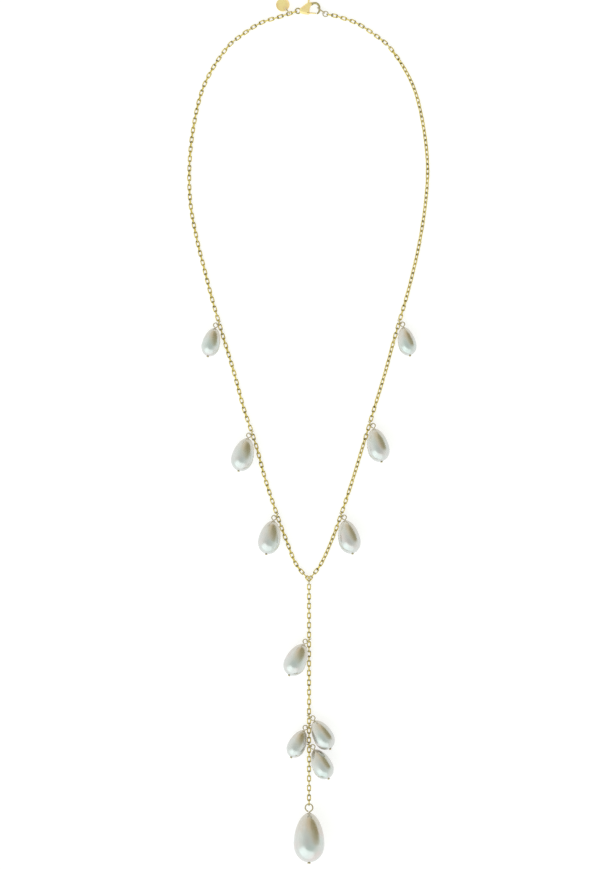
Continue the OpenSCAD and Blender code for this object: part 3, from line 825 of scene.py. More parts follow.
def plate(back, front, mouth, half_thickness, origin, axes, count=28):
    """A flat piece with rounded edges between a back curve and a front curve, whose far end follows a mouth
    curve. Across, the point blends from back to front. Its height is the half thickness times the root of
    one less the distance from the middle line to a power, and it falls at both ends as a quarter circle."""
    even = (1 - np.cos(np.linspace(0, np.pi, count))) / 2
    along = even[None, :, None]
    across = even[:, None, None]
    curves = [evenly(points, EDGE_POINTS) for points in (back, front, mouth)]
    b, f, m = (at_distance(curve, even * distances(curve)[-1]) for curve in curves)
    flat = (1 - across) * b[None] + across * f[None]
    flat = flat + along * (m[:, None] - (1 - across) * m[0] - across * m[-1])
    crown = (1 - np.abs(2 * across[..., 0] - 1) ** PLATE_EDGE) ** (1 / 2)
    near = np.minimum(along[..., 0] / PLATE_END, 1)
    far = np.minimum((1 - along[..., 0]) / PLATE_END, 1)
    ends = np.sqrt(np.clip(1 - (1 - near) ** 2, 0, 1)) * np.sqrt(np.clip(1 - (1 - far) ** 2, 0, 1))
    z = half_thickness * crown * ends
    top = np.concatenate([flat, z[..., None]], axis=-1)
    bottom = np.concatenate([flat, -z[..., None]], axis=-1)[1:-1][::-1]
    return grid(origin + np.vstack([top, bottom]) @ axes, closed_u=True)


def joined(parts):
    """Several surfaces as one list of vertices and one of faces."""
    starts = np.cumsum([0] + [len(v) for v, _ in parts[:-1]])
    return np.vstack([v for v, _ in parts]), np.vstack([f + s for (_, f), s in zip(parts, starts)])


def repeated(part, origins, axes):
    """Copies of one surface, each turned by its own axes and moved to its own place."""
    vertices, faces = part
    placed = origins[:, None] + np.einsum("vk,nkc->nvc", vertices, axes)
    shift = len(vertices) * np.arange(len(origins))[:, None, None]
    return placed.reshape(-1, 3), (faces[None] + shift).reshape(-1, 4)


def new_object(name, part, sharp=180.0):
    """A smooth mesh object from a surface, with the poles merged and edges over an angle kept sharp."""
    mesh = bpy.data.meshes.new(name)
    mesh.from_pydata(part[0], [], part[1])
    bm = bmesh.new()
    bm.from_mesh(mesh)
    bmesh.ops.remove_doubles(bm, verts=bm.verts, dist=MERGE_DISTANCE)
    bmesh.ops.dissolve_degenerate(bm, edges=bm.edges, dist=MERGE_DISTANCE)
    bm.to_mesh(mesh)
    bm.free()
    mesh.polygons.foreach_set("use_smooth", [True] * len(mesh.polygons))
    if sharp < 180:
        mesh.set_sharp_from_angle(angle=math.radians(sharp))
    obj = bpy.data.objects.new(name, mesh)
    bpy.context.scene.collection.objects.link(obj)
    return obj


def mark(obj, name, values):
    """Gives every vertex of a piece a number of its own, which its finish reads by name."""
    attribute = obj.data.attributes.new(name, "FLOAT", "POINT")
    attribute.data.foreach_set("value", values.astype(np.float32))


def dressed(obj, finish, slot, body, *nodes):
    """Gives a piece its finish, the body that it rides on and the solids that it stands for. The slot is
    not used.
    """
    obj.data.materials.clear()
    obj.data.materials.append(finish)
    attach(obj, body)
    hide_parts(*nodes)
    return obj


# Shaders


class Value:
    """The value of a socket. Arithmetic on it adds Math nodes."""

    def __init__(self, shader, socket):
        self.shader = shader
        self.socket = socket

    def maths(self, operation, first, second):
        return self.shader.node("ShaderNodeMath", {"operation": operation}, {0: first, 1: second})

    def __add__(self, other):
        return self.maths("ADD", self, other)

    def __radd__(self, other):
        return self.maths("ADD", other, self)

    def __sub__(self, other):
        return self.maths("SUBTRACT", self, other)

    def __rsub__(self, other):
        return self.maths("SUBTRACT", other, self)

    def __mul__(self, other):
        return self.maths("MULTIPLY", self, other)

    def __rmul__(self, other):
        return self.maths("MULTIPLY", other, self)

    def __truediv__(self, other):
        return self.maths("DIVIDE", self, other)

    def __rtruediv__(self, other):
        return self.maths("DIVIDE", other, self)

    def __abs__(self):
        return self.shader.node("ShaderNodeMath", {"operation": "ABSOLUTE"}, {0: self})


class Shader:
    """A node tree that is filled by one method."""

    def __init__(self, tree):
        self.tree = tree
        tree.nodes.clear()

    def node(self, kind, settings=None, sockets=None, output=0):
        """Adds a node, sets its settings and then its sockets' values or links, and gives one output."""
        node = self.tree.nodes.new(kind)
        for key, value in (settings or {}).items():
            if key == "stops":
                self.set_stops(node.color_ramp, value)
            else:
                setattr(node, key, value)
        for key, value in (sockets or {}).items():
            if isinstance(value, Value):
                self.tree.links.new(value.socket, node.inputs[key])
            else:
                node.inputs[key].default_value = value
        return Value(self, node.outputs[output]) if node.outputs else node

    @staticmethod
    def set_stops(ramp, stops):
        """Sets a colour ramp to pairs of place and colour."""
        while len(ramp.elements) < len(stops):
            ramp.elements.new(0.5)
        for element, (place, tone) in zip(ramp.elements, stops):
            element.position = place
            element.color = (*tone, 1)

    def dot(self, place, direction):
        """How far a place lies along a fixed direction."""
        vectors = {0: place, 1: tuple(direction)}
        return self.node("ShaderNodeVectorMath", {"operation": "DOT_PRODUCT"}, vectors, output=1)

    def noise(self, place, features, detail=2.0, roughness=0.5):
        """Soft noise from 0 to 1, with features of a real size in metres."""
        return self.node(
            "ShaderNodeTexNoise", {"noise_dimensions": "3D"},
            {"Vector": place, "Scale": 1 / features, "Detail": detail, "Roughness": roughness},
        )

    def range(self, value, low, high, to_low=0.0, to_high=1.0):
        """A value brought smoothly from one range to another."""
        return self.node(
            "ShaderNodeMapRange", {"interpolation_type": "SMOOTHSTEP"},
            {"Value": value, "From Min": low, "From Max": high, "To Min": to_low, "To Max": to_high},
        )

    def mix(self, factor, first, second):
        """Two colours mixed by a factor."""
        first, second = (c if isinstance(c, Value) else (*c, 1) for c in (first, second))
        return self.node("ShaderNodeMix", {"data_type": "RGBA"}, {0: factor, 6: first, 7: second}, output=2)

    def bump(self, height, depth, strength):
        """A bump whose full height is a real depth in metres."""
        sockets = {"Height": height, "Distance": depth, "Strength": strength}
        return self.node("ShaderNodeBump", None, sockets)

    def surface(self, **sockets):
        """The main shader, with its sockets named in words, linked to the output."""
        named = {key.replace("_", " "): value for key, value in sockets.items()}
        shader = self.node("ShaderNodeBsdfPrincipled", None, named)
        self.node("ShaderNodeOutputMaterial", None, {"Surface": shader})


def new_finish(name):
    """An empty material and the shader that fills it."""
    material = bpy.data.materials.new(name)
    material.use_nodes = True
    return material, Shader(material.node_tree)


def gold_finish(name, tone, shade, roughness, metallic=1.0, joint=None):
    """Polished gold plate: tone and shade drift over a few millimetres, with a fine grain of polishing
    marks that also breaks up the gloss. With a colour of painted shade, the plate takes it on by the
    piece's own measure: on the chains where links hook, on the clasp over its hook, eye and rivet."""
    material, shader = new_finish(name)
    place = shader.node("ShaderNodeTexCoord", output=3)
    drift = shader.range(shader.noise(place, GOLD_DRIFT), 0.35, 0.7)
    grain = shader.noise(place, GOLD_GRAIN, detail=3, roughness=0.6)
    wear_and_shade = shader.range(shader.noise(place, GOLD_WEAR, detail=4), 0.45, 0.75)
    colour_here = shader.mix(0.2 * wear_and_shade + 0.6 * drift, (*tone,), (*shade,))
    if joint:
        # Painted shade: this attribute marks where the plate darkens to stand for shadow and dark
        # reflection
        near = shader.node("ShaderNodeAttribute", {"attribute_name": "joint"}, output=2)
        colour_here = shader.mix(near * (PAINTED_SHADE_BASE + PAINTED_SHADE_EXTRA * wear_and_shade), colour_here, (*joint,))
    shader.surface(
        Base_Color=colour_here,
        Metallic=metallic,
        Roughness=roughness + 0.07 * wear_and_shade + 0.05 * grain,
        Normal=shader.bump(grain, GRAIN_DEPTH, 0.35),
    )
    return material


def pearl_finish(name, grey, rose, green, cream):
    """Pearl lustre: a half mirror over a grey body, whose overtones drift from rose to green in soft clouds
    and which is creamy round the tip, by the part's own measure of the way from the tip. A thin clear layer
    gives the sharp gloss and a faint play of colour, and the skin waves a little."""
    material, shader = new_finish(name)
    place = shader.node("ShaderNodeTexCoord", output=3)
    clouds = shader.noise(place, PEARL_CLOUDS, detail=1)
    veins = shader.noise(place, PEARL_VEINS, detail=3, roughness=0.55)
    grain = shader.noise(place, PEARL_GRAIN, detail=2)
    waves = shader.noise(place, PEARL_WAVES, detail=1)
    tinted = shader.mix(shader.range(clouds, 0.5, 0.7), (*grey,), (*rose,))
    tinted = shader.mix(shader.range(clouds, 0.5, 0.3), tinted, (*green,))
    from_tip = shader.node("ShaderNodeAttribute", {"attribute_name": "from_tip"}, output=2)
    creamy = shader.range(from_tip + 0.2 * (veins - 0.5), 0.05, 0.6, 0.9, 0.0)
    tinted = shader.mix(creamy, tinted, (*cream,))
    paler = [c * 1.1 for c in grey]
    shader.surface(
        Base_Color=shader.mix(0.3 * shader.range(veins, 0.4, 0.7), tinted, paler),
        Metallic=0.74,
        Roughness=0.2 + 0.06 * veins,
        IOR=1.53,
        Coat_Weight=0.5,
        Coat_Roughness=0.08,
        Coat_IOR=1.55,
        Thin_Film_Thickness=410.0,
        Thin_Film_IOR=1.65,
        Normal=shader.bump(waves + 0.04 * grain, WAVE_DEPTH, 0.3),
    )
    return material


def finish_named(name, make):
    """A finish that is made once and shared by every piece that asks for it."""
    return bpy.data.materials.get(name) or make(name)


def chain_gold():
    """The links' plate, with painted shade where they hook into each other."""
    tones = bpy.context.scene.lariat_finish
    return finish_named("chain_gold", lambda name: gold_finish(
        name, tones.chain_gold, tones.chain_shade, CHAIN_ROUGHNESS, joint=tones.painted_joint_shade
    ))


def ring_gold():
    """The plate of the rings and the head pins."""
    tones = bpy.context.scene.lariat_finish
    return finish_named("ring_gold", lambda name: gold_finish(
        name, tones.ring_gold, tones.ring_shade, RING_ROUGHNESS
    ))


def clasp_gold():
    """The warmer and duller plate of the clasp and the tag, whose wires are darkened olive by painted
    shade.
    """
    tones = bpy.context.scene.lariat_finish
    return finish_named("clasp_gold", lambda name: gold_finish(
        name, tones.clasp_gold, tones.clasp_shade, CLASP_ROUGHNESS, CLASP_METALLIC, tones.wire_painted_shade
    ))


def pearl_lustre():
    """The pearls' skin."""
    tones = bpy.context.scene.lariat_finish
    return finish_named("pearl_lustre", lambda name: pearl_finish(
        name, tones.pearl_grey, tones.pearl_rose, tones.pearl_green, tones.pearl_cream
    ))


# Pieces


class LariatOperator:
    """What every operator of the necklace shares: an undo step, and the layout moved to the frame."""
    bl_options = {"REGISTER", "UNDO"}

    def execute(self, context):
        layout = Layout(context.scene)
        self.build(layout, layout.centre)
        return {"FINISHED"}


def leaning(chain, rows, most):
    """How far each link of a strand leans over. The links at both ends and at the jump rings don't, and
    each link further from them leans a little more, up to the most."""
    numbers = np.arange(chain.last + 1)
    end = chain.nearest(LEAN_END)
    held = np.array([0, end, *(chain.nearest(row[0] * MM) for row in rows)])
    free = np.abs(numbers[:, None] - held).min(axis=1)
    return np.where(numbers < end, np.minimum(most, LEAN_STEP * np.maximum(0, free - 1)), 0)


def link_axes(chain, numbers, twist, lean):
    """Axes of links: the first along the chain, the second level. Odd links stand on edge, and each rolls
    about the chain by its lean, and by the twist times the sines of a quick and a slow wave."""
    along = chain.heading(chain.place(numbers))
    level = unit(np.cross(np.array([0, 0, 1.0]), along))
    up = np.cross(along, level)
    wave = np.sin(TWIST_WAVE * numbers + TWIST_START) * np.sin(TWIST_SWELL * numbers)
    roll = numbers % 2 * np.pi / 2 + lean + twist * wave
    c, s = np.cos(roll)[:, None], np.sin(roll)[:, None]
    return np.stack([along, c * level + s * up, c * up - s * level], axis=1)


def chain_links(name, node, chain, layout, lean):
    """All links of one chain, hooked into each other, as one mesh. Each vertex is marked with how much
    painted
    shade it takes: how near the link's ends it is, from 0 to 1, times the shade depth of its link, which is
    a squared sine of the link's number."""
    sizes = layout.sizes
    numbers = np.arange(chain.last + 1)
    link = oval_link(sizes.link_length, sizes.link_width, sizes.link_wire, LINK_STEPS, LINK_SIDES)
    places = chain.at(chain.place(numbers)) + layout.centre
    part = repeated(link, places, link_axes(chain, numbers, sizes.link_twist, lean))
    obj = dressed(new_object(name, part), chain_gold(), "gold", NECKLACE, node)
    # Painted shade: the link's ends are darkened where they hook, standing for shadow and dark reflection
    far = np.abs(link[0][:, 0]) / (sizes.link_length / 2)
    painted_shade_mask = np.clip((far - PAINTED_SHADE_START) / (PAINTED_SHADE_FULL - PAINTED_SHADE_START), 0, 1)
    wear_and_shade = LEAST_PAINTED_SHADE + (1 - LEAST_PAINTED_SHADE) * np.sin(PAINTED_SHADE_WAVE * numbers) ** 2
    mark(obj, "joint", np.outer(wear_and_shade, painted_shade_mask).ravel())


class LARIAT_OT_strands(LariatOperator, Operator):
    """Lays the two strands of cable chain round the neck"""
    bl_idname = "lariat.strands"
    bl_label = "Strands"

    def build(self, layout, centre):
        left_lean = leaning(layout.left, LEFT_PEARLS, layout.sizes.left_lean)
        right_lean = leaning(layout.right, RIGHT_PEARLS, layout.sizes.right_lean)
        chain_links("links_left", "neck_chain_left", layout.left, layout, left_lean)
        chain_links("links_right", "neck_chain_right", layout.right, layout, right_lean)


class LARIAT_OT_drop(LariatOperator, Operator):
    """Lays the single chain of the drop"""
    bl_idname = "lariat.drop"
    bl_label = "Drop"

    def build(self, layout, centre):
        chain_links("links_drop", "drop_chain", layout.drop, layout, 0)


class LARIAT_OT_junction(LariatOperator, Operator):
    """Makes the ring in which the strands and the drop meet"""
    bl_idname = "lariat.junction"
    bl_label = "Junction ring"

    def build(self, layout, centre):
        mid = np.array([0, 0, layout.junction_z]) + centre
        wire = layout.findings.junction_wire
        part = ring(
            mid, layout.junction_r, wire, (0, 1, 0), (0, 0, 1), slit=RING_SLIT,
            place=JUNCTION_SLIT_AT, around=48, sides=12,
        )
        obj = new_object("meeting_ring", part, RING_SHARP)
        dressed(obj, ring_gold(), "gold", NECKLACE, "junction_ring")


def make_pearl(name, node, place, unevenness, centre, phase):
    """A teardrop with a drilled hole. Its radius wavers by a slow double and triple wave round the axis."""
    pearl = place["pearl"]
    x, r = pearl.outline(*PEARL_STEPS)
    rim_x = BORE_STEP * np.array([3, 0.5, -0.5])
    rim_r = pearl.bore / 2 + BORE_STEP * np.array([0, 0.5, 2])
    x = np.concatenate([x[0] + rim_x, x, x[-1] - rim_x[::-1]])
    r = np.concatenate([rim_r, r, rim_r[::-1]])

    def waver(along, turn):
        middle = np.clip(1 - ((along - pearl.belly) / pearl.upper) ** 2, 0, 1)
        wave = np.sin(2 * turn + phase) + 0.5 * np.sin(3 * turn + 2 * phase + along / WAVER_LENGTH)
        return 1 - unevenness * middle * (1.5 - wave) / 2

    eye = place["eye"] + centre
    part = turned(x, r, eye, place["axes"], PEARL_SIDES, bend=waver)
    obj = dressed(new_object(name, part), pearl_lustre(), "pearl", NECKLACE, node)
    vertices = np.empty(3 * len(obj.data.vertices), np.float32)
    obj.data.vertices.foreach_get("co", vertices)
    along = (vertices.reshape(-1, 3) - eye) @ place["axes"][0]
    mark(obj, "from_tip", (along - pearl.belly + pearl.upper) / pearl.length)


class LARIAT_OT_pearls(LariatOperator, Operator):
    """Shapes the teardrop pearls"""
    bl_idname = "lariat.pearls"
    bl_label = "Pearls"

    def build(self, layout, centre):
        unevenness = bpy.context.scene.lariat_pearls.unevenness
        for k, (where, place) in enumerate(layout.rows()):
            make_pearl(f"teardrop_{where}", f"pearl_{where}", place, unevenness, centre, WAVER_TURN * k)
        make_pearl("teardrop_end", "pearl_end", layout.end_pearl(), unevenness, centre, LARGE_WAVER_TURN)


def make_pin(name, node, place, centre):
    """A head pin: its wire runs from the flat head through the pearl, bends at the neck and turns round
    into an open eye whose end meets the neck. The head tapers outwards, and its edges are rounded."""
    pearl = place["pearl"]
    x, _ = pearl.outline(*PLAIN_STEPS)
    head_x = x[-1] + GAP
    neck = pearl.eye_r + NECK_SHARE * pearl.pin
    turn = np.radians(np.linspace(EYE_START, EYE_END, 40))
    eye = np.column_stack([pearl.eye_r * np.cos(turn), pearl.eye_r * np.sin(turn)])
    shaft = np.column_stack([np.linspace(head_x + pearl.head_thickness / 2, neck, 6), np.zeros(6)])
    bend = catmull_rom(np.vstack([shaft[-1], eye[0] + (NECK_BULGE, 0), eye[1]]), 5)
    flat = np.vstack([shaft, bend[1:-1], eye[1:]])
    path, radii = flat_ends(np.column_stack([flat, np.zeros(len(flat))]), pearl.pin / 2)
    wire = tube(path, radii, (0, 0, 1), 10)
    profile = HEAD_PROFILE * [pearl.head_thickness, pearl.head / 2]
    head = turned(head_x + profile[:, 0], profile[:, 1], np.zeros(3), np.eye(3), 24, False)
    vertices, faces = joined([wire, head])
    part = place["eye"] + centre + vertices @ place["axes"], faces
    dressed(new_object(name, part, PIN_SHARP), ring_gold(), "gold", NECKLACE, node)


class LARIAT_OT_pins(LariatOperator, Operator):
    """Bends the head pins that the pearls hang on"""
    bl_idname = "lariat.pins"
    bl_label = "Head pins"

    def build(self, layout, centre):
        for where, place in layout.rows():
            make_pin(f"head_pin_{where}", f"pin_{where}", place, centre)
        make_pin("head_pin_end", "pin_end", layout.end_pearl(), centre)


class LARIAT_OT_jump_rings(LariatOperator, Operator):
    """Closes a jump ring round a link and each pin's eye"""
    bl_idname = "lariat.jump_rings"
    bl_label = "Jump rings"

    def build(self, layout, centre):
        wire = layout.findings.jump_wire
        for where, place in layout.rows():
            mid = place["ring_mid"] + centre
            part = ring(
                mid, layout.jump_r, wire, place["ring_out"], (0, 0, 1), slit=RING_SLIT, place=JUMP_SLIT_AT
            )
            obj = new_object(f"jump_ring_{where}", part, RING_SHARP)
            dressed(obj, ring_gold(), "gold", NECKLACE, f"ring_{where}")


class LARIAT_OT_end(LariatOperator, Operator):
    """Makes the link and the ring that the clasp hooks into"""
    bl_idname = "lariat.end"
    bl_label = "End link and ring"

    def build(self, layout, centre):
        findings = layout.findings
        z = layout.clasp_mid[2]
        upright = plan_axes(END_ANGLE)[[0, 2, 1]] * [[1], [1], [-1]]
        link = oval_link(findings.end_link_length, findings.end_link_width, findings.end_link_wire, 14, 12)
        part = np.array([*layout.end_link_mid, z]) + centre + link[0] @ upright, link[1]
        dressed(new_object("hooked_link", part), ring_gold(), "gold", NECKLACE, "end_link")
        mid = np.array([*layout.end_ring_mid, z]) + centre
        part = ring(
            mid, layout.end_ring_r, findings.end_ring_wire, (1, 0, 0), (0, 1, 0), slit=END_RING_SLIT,
            place=END_SLIT_AT, around=48, sides=12,
        )
        dressed(new_object("closing_ring", part, RING_SHARP), ring_gold(), "gold", NECKLACE, "end_ring")


def hook_path(clasp):
    """Middle line of the hook: an arc over the top, a straight side, and an arc under it to the tip."""
    x = HOOK_X - clasp.hook_radius
    over = np.linspace(HOOK_START, 0, 26)
    under = np.linspace(0, -HOOK_END, 14)
    top = [x, clasp.hook_side / 2] + clasp.hook_radius * np.column_stack([np.cos(over), np.sin(over)])
    low = [x, -clasp.hook_side / 2] + clasp.hook_radius * np.column_stack([np.cos(under), np.sin(under)])
    flat = np.vstack([top, low])
    return np.column_stack([flat, np.zeros(len(flat))])


def cut_box(obj, low, high):
    """Cuts a box out of an object."""
    corner = np.array([low, high])
    pick = np.array([[i, j, k] for i in (0, 1) for j in (0, 1) for k in (0, 1)])
    vertices = np.column_stack([corner[pick[:, c], c] for c in range(3)])
    faces = np.array([[0, 1, 3, 2], [4, 6, 7, 5], [0, 4, 5, 1], [2, 3, 7, 6], [0, 2, 6, 4], [1, 5, 7, 3]])
    cutter = new_object("cutter", (vertices, faces))
    cut = obj.modifiers.new("slot", "BOOLEAN")
    cut.operation = "DIFFERENCE"
    cut.solver = "EXACT"
    cut.object = cutter
    evaluated = obj.evaluated_get(bpy.context.evaluated_depsgraph_get())
    mesh = bpy.data.meshes.new_from_object(evaluated)
    obj.modifiers.clear()
    old = obj.data
    obj.data = mesh
    bpy.data.meshes.remove(old)
    bpy.data.objects.remove(cutter)
    mesh.set_sharp_from_angle(angle=math.radians(CLASP_SHARP))


class LARIAT_OT_clasp(LariatOperator, Operator):
    """Shapes the lobster clasp: a slotted blade with a hook, an eye and a rivet"""
    bl_idname = "lariat.clasp"
    bl_label = "Clasp"

    def build(self, layout, centre):
        clasp = layout.clasp
        origin = layout.clasp_mid + centre
        hook_h = clasp.hook_side + 2 * clasp.hook_radius + clasp.hook_wire
        scale = np.array([clasp.length, hook_h])
        edges = [np.array(edge) * scale for edge in (BLADE_BACK, BLADE_FRONT, BLADE_MOUTH)]
        obj = new_object("lobster_clasp", plate(*edges, clasp.thickness / 2, origin, np.eye(3)))
        slot = clasp.lever / 2 + clasp.play
        low = origin + (layout.pivot[0] - SLOT_BACK, -hook_h, -slot)
        high = origin + (layout.pivot[0] + SLOT_FRONT, hook_h, slot)
        cut_box(obj, low, high)
        path = hook_path(clasp)
        share = np.linspace(0, 1, len(path))
        radius = clasp.hook_wire / 2 * (HOOK_SWELL - HOOK_TAPER * share)
        path, radius = round_ends(path, radius)
        hook = tube(origin + path, radius, (0, 0, 1), 20, depth=radius * HOOK_DEPTH)
        eye = ring(
            origin + (*layout.clasp_eye, 0), layout.clasp_eye_r, clasp.eye_wire, (1, 0, 0), (0, 1, 0),
            around=48, sides=14,
        )
        a = np.linspace(0, np.pi / 2, 6)
        half = clasp.thickness / 2
        head = half - RIVET_INSET + RIVET_DOME * np.sin(a)
        x = np.concatenate([-head[::-1], head])
        r = clasp.rivet / 2 * np.concatenate([np.cos(a)[::-1], np.cos(a)])
        rivet = turned(x, r, origin + (*layout.pivot, 0), UPRIGHT, 24, False)
        rest = new_object("clasp_wire", joined([hook, eye, rivet]))
        # Painted shade over the hook, eye and rivet, darkening them towards the olive tone
        mark(rest, "joint", np.full(len(rest.data.vertices), WIRE_PAINTED_SHADE))
        with bpy.context.temp_override(active_object=obj, selected_editable_objects=[obj, rest]):
            bpy.ops.object.join()
        dressed(obj, clasp_gold(), "bright_gold", NECKLACE, "clasp_body")


class LARIAT_OT_lever(LariatOperator, Operator):
    """Shapes the clasp's lever: a gate that closes the hook, and the thumb piece that opens it"""
    bl_idname = "lariat.lever"
    bl_label = "Lever"

    def build(self, layout, centre):
        clasp = layout.clasp
        origin = layout.clasp_mid + centre + (*layout.pivot, 0)
        tip = hook_path(clasp)[-1, :2] - layout.pivot
        reach = np.linalg.norm(tip) - clasp.hook_wire / 2 - GAP
        half = clasp.lever / 2
        gate_path, radii = round_ends(
            np.linspace(0, 1, 12)[:, None] * (reach - clasp.gate / 2) * np.array([*unit(tip), 0]),
            np.linspace(clasp.gate / 2 * GATE_START, clasp.gate / 2 * GATE_TIP, 12),
        )
        gate = tube(gate_path, radii, (0, 0, 1), 16, depth=np.minimum(radii * GATE_DEPTH, half))
        height = clasp.thumb_top - layout.pivot[1]
        edges = [np.array(edge) * height for edge in (THUMB_BACK, THUMB_FRONT, THUMB_TOP)]
        thumb = plate(*edges, half, np.zeros(3), np.eye(3), count=20)
        a = np.linspace(0, np.pi / 2, 5)
        rim = half - LEVER_EDGE + LEVER_EDGE * np.sin(a)
        r = LEVER_BOSS / 2 - LEVER_EDGE + LEVER_EDGE * np.cos(a)
        x = np.concatenate([[-half], -rim[::-1], rim, [half]])
        r = np.concatenate([[0], r[::-1], r, [0]])
        boss = turned(x, r, np.zeros(3), UPRIGHT, 28, False)
        vertices, faces = joined([gate, thumb, boss])
        obj = new_object("spring_lever", (origin + vertices, faces), LEVER_SHARP)
        dressed(obj, clasp_gold(), "bright_gold", LEVER, "clasp_lever")


def tag_surface(tag, hole_in):
    """A round disc with a raised rim and a hole. The hole's circle blends into the circle inside the rim
    and on to the outer edge. Each station is a line round the disc with its height, and the back mirrors
    them."""
    turn = np.linspace(0, 2 * np.pi, 72, endpoint=False)
    circle = np.column_stack([np.cos(turn), np.sin(turn)])
    half, low = tag.thickness / 2, tag.thickness / 2 - tag.rim_height
    edge = TAG_BEVEL
    hole = [-hole_in, 0] + tag.hole / 2 * circle
    lip = [-hole_in, 0] + (tag.hole / 2 + edge) * circle
    inner = (tag.width / 2 - tag.rim_width) * circle
    outer = tag.width / 2 * circle
    stations = [(hole, low - edge), (hole + (lip - hole) * 0.3, low - edge * 0.3), (lip, low)]
    stations += [(lip + (inner - lip) * f, low) for f in (0.33, 0.66, 1)]
    stations += [
        (inner + (outer - inner) * f, z)
        for f, z in ((0.1, low + 0.2 * tag.rim_height), (0.32, half - 0.1 * tag.rim_height), (0.5, half))
    ]
    stations += [(outer - edge * circle, half), (outer - edge * 0.3 * circle, half - edge * 0.3)]
    stations += [(outer, half - edge)]
    front = np.array([np.column_stack([flat, np.full(len(flat), z)]) for flat, z in stations])
    back = front[::-1] * [1, 1, -1]
    return grid(np.vstack([front, back]), closed_u=True, closed_v=True)


class LARIAT_OT_tag(LariatOperator, Operator):
    """Makes the plain round tag and the ring that holds it"""
    bl_idname = "lariat.tag"
    bl_label = "Tag"

    def build(self, layout, centre):
        tag = layout.tag
        lean = layout.tag_lean
        out = np.array([*TAG_DIRECTION, 0])
        level = np.array([-TAG_DIRECTION[1], TAG_DIRECTION[0], 0])
        along = out * math.cos(lean) - np.array([0, 0, math.sin(lean)])
        axes = np.array([along, level, np.cross(along, level)])
        vertices, faces = tag_surface(tag, layout.tag_hole_in)
        part = layout.tag_mid + centre + vertices @ axes, faces
        dressed(new_object("round_tag", part, TAG_SHARP), clasp_gold(), "bright_gold", NECKLACE, "tag")
        mid = np.array([*layout.tag_ring_mid, layout.tag_ring_z]) + centre
        part = ring(
            mid, layout.tag_ring_r, tag.ring_wire, out, (0, 0, 1), slit=RING_SLIT, place=TAG_SLIT_AT,
            around=44,
        )
        dressed(new_object("tag_holder", part, RING_SHARP), ring_gold(), "gold", NECKLACE, "tag_ring")


def aim(azimuth, elevation):
    """Direction from the necklace: the azimuth turns from the top of the picture to the right, and the
    elevation rises from the surface, both in degrees."""
    a, e = math.radians(azimuth), math.radians(elevation)
    return np.array([math.sin(a) * math.cos(e), math.cos(a) * math.cos(e), math.sin(e)])


def lamp_window(shader, place, azimuth, elevation, half_size, soft):
    """How much of a far rectangle a direction hits, from 0 to 1. Half sizes and soft edges are tangents of
    the angles that they take up."""
    middle = aim(azimuth, elevation)
    across = unit(np.cross(middle, [0, 0, 1.0]))
    up = np.cross(across, middle)
    ahead = shader.dot(place, middle)
    hit = shader.range(ahead, 0.0, 0.05)
    for side, half, edge in zip((across, up), half_size, soft):
        hit = hit * shader.range(abs(shader.dot(place, side) / ahead), half + edge, half - edge)
    return hit


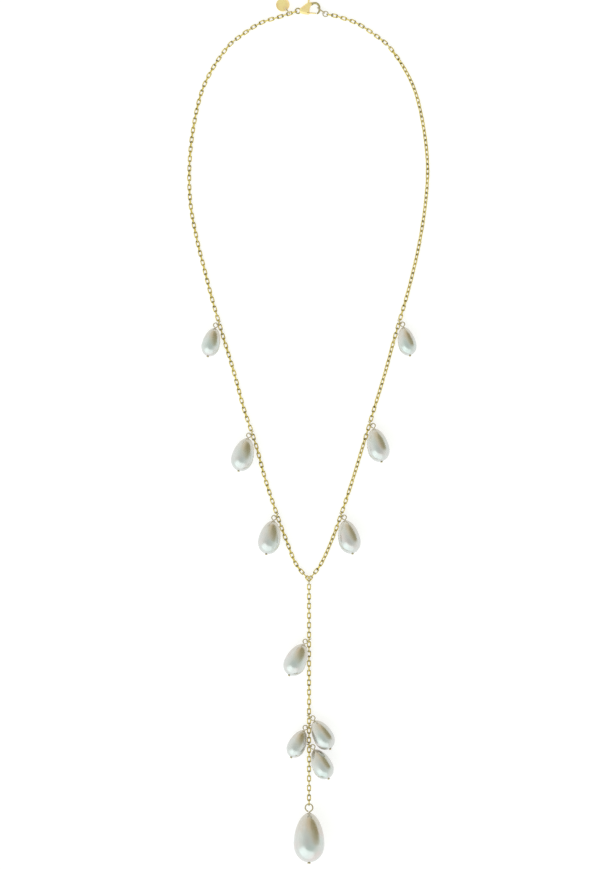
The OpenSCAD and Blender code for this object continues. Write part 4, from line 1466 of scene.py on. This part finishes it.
class LARIAT_OT_studio(Operator):
    """Sets up the floor, the light and the camera above the necklace"""
    bl_idname = "lariat.studio"
    bl_label = "Studio"
    bl_options = {"REGISTER", "UNDO"}

    def execute(self, context):
        scene = context.scene
        studio = scene.lariat_studio
        scene.view_settings.view_transform = "Standard"
        self.floor(studio)
        self.light(scene, studio)
        self.camera(scene, studio)
        return {"FINISHED"}

    @staticmethod
    def floor(studio):
        """A wide white surface just under the lowest point, lit a little from below as on a light table."""
        corner = np.array([(-1, -1), (1, -1), (1, 1), (-1, 1)]) * FLOOR_HALF
        vertices = np.column_stack([corner, np.full(4, FLOOR_Z)])
        floor = new_object("floor", (vertices, np.array([[0, 1, 2, 3]])))
        material, shader = new_finish("floor_white")
        shader.surface(
            Base_Color=(0.45, 0.45, 0.45, 1), Roughness=0.9, Specular_IOR_Level=0.1,
            Emission_Color=(1, 1, 1, 1), Emission_Strength=studio.floor_glow,
        )
        floor.data.materials.append(material)

    @staticmethod
    def light(scene, studio):
        """Even light from all round that is dimmer overhead, with a bright soft box below the picture that
        is brighter at its left, and an olive card at the upper right. A camera that looks past the floor
        sees a plain backdrop."""
        world = bpy.data.worlds.new("studio_light")
        scene.world = world
        world.use_nodes = True
        shader = Shader(world.node_tree)
        place = shader.node("ShaderNodeTexCoord", output=0)
        height = shader.node("ShaderNodeSeparateXYZ", None, {"Vector": place}, output=2)
        sky = shader.node(
            "ShaderNodeValToRGB",
            {"stops": [(0.0, studio.sky_low), (0.5, studio.sky_upper), (1.0, studio.sky_overhead)]},
            {"Fac": height},
        )
        card = lamp_window(shader, place, *CARD_WINDOW)
        middle = lamp_window(shader, place, *CARD_MIDDLE)
        box = lamp_window(shader, place, *BOX_WINDOW)
        flash = lamp_window(shader, place, *FLASH_WINDOW)
        sky = shader.mix(card, sky, (*studio.card_pale,))
        sky = shader.mix(middle, sky, (*studio.card_dark,))
        sky = shader.mix(box, sky, [studio.box_light * tint for tint in BOX_TINT])
        sky = shader.mix(flash, sky, [studio.box_light * tint for tint in FLASH_TINT])
        light = shader.node("ShaderNodeBackground", None, {"Color": sky, "Strength": studio.brightness})
        seen = shader.node("ShaderNodeBackground", None, {"Color": (*studio.backdrop, 1), "Strength": 1.0})
        by_camera = shader.node("ShaderNodeLightPath")
        both = shader.node("ShaderNodeMixShader", None, {0: by_camera, 1: light, 2: seen})
        shader.node("ShaderNodeOutputWorld", None, {"Surface": both})

    @staticmethod
    def camera(scene, studio):
        """Looks straight down from afar, so that the picture shows the necklace at the picture's scale."""
        data = bpy.data.cameras.new("camera")
        data.sensor_width = 36
        field = PICTURE_H * studio.picture_scale
        data.lens = data.sensor_width * studio.camera_height / field
        data.clip_end = 20
        camera = bpy.data.objects.new("camera", data)
        scene.collection.objects.link(camera)
        centre = Layout(scene).centre
        camera.location = (
            centre[0] + (PICTURE_W / 2 - JUNCTION_COLUMN) * studio.picture_scale,
            centre[1] + (JUNCTION_ROW - PICTURE_H / 2) * studio.picture_scale,
            studio.camera_height,
        )
        scene.camera = camera


class LARIAT_PT_sidebar(Panel):
    """Lists the steps that build the necklace"""
    bl_label = "Lariat Necklace"
    bl_idname = "LARIAT_PT_sidebar"
    bl_space_type = "VIEW_3D"
    bl_region_type = "UI"
    bl_category = "Lariat"

    def draw(self, context):
        for operator in OPERATORS:
            self.layout.operator(operator.bl_idname)
        for group in GROUPS:
            box = self.layout.box()
            box.label(text=group)
            for key in GROUPS[group].__annotations__:
                box.prop(getattr(context.scene, group), key)


GROUPS = {
    "lariat_chain": LariatChain,
    "lariat_pearls": LariatPearls,
    "lariat_findings": LariatFindings,
    "lariat_clasp": LariatClasp,
    "lariat_tag": LariatTag,
    "lariat_finish": LariatFinish,
    "lariat_studio": LariatStudio,
}
OPERATORS = [
    LARIAT_OT_studio, LARIAT_OT_strands, LARIAT_OT_drop, LARIAT_OT_junction, LARIAT_OT_pearls,
    LARIAT_OT_pins, LARIAT_OT_jump_rings, LARIAT_OT_end, LARIAT_OT_clasp, LARIAT_OT_lever, LARIAT_OT_tag,
]


def register():
    """Registers the sizes, the steps and the sidebar."""
    for key, group in GROUPS.items():
        bpy.utils.register_class(group)
        setattr(bpy.types.Scene, key, PointerProperty(type=group))
    for operator in OPERATORS:
        bpy.utils.register_class(operator)
    bpy.utils.register_class(LARIAT_PT_sidebar)


def unregister():
    """Takes them out again, in the opposite order."""
    bpy.utils.unregister_class(LARIAT_PT_sidebar)
    for operator in reversed(OPERATORS):
        bpy.utils.unregister_class(operator)
    for key, group in GROUPS.items():
        delattr(bpy.types.Scene, key)
        bpy.utils.unregister_class(group)


def main():
    """Builds the studio and every piece."""
    register()
    for operator in OPERATORS:
        group, name = operator.bl_idname.split(".")
        getattr(getattr(bpy.ops, group), name)()


if __name__ == "__main__":
    main()
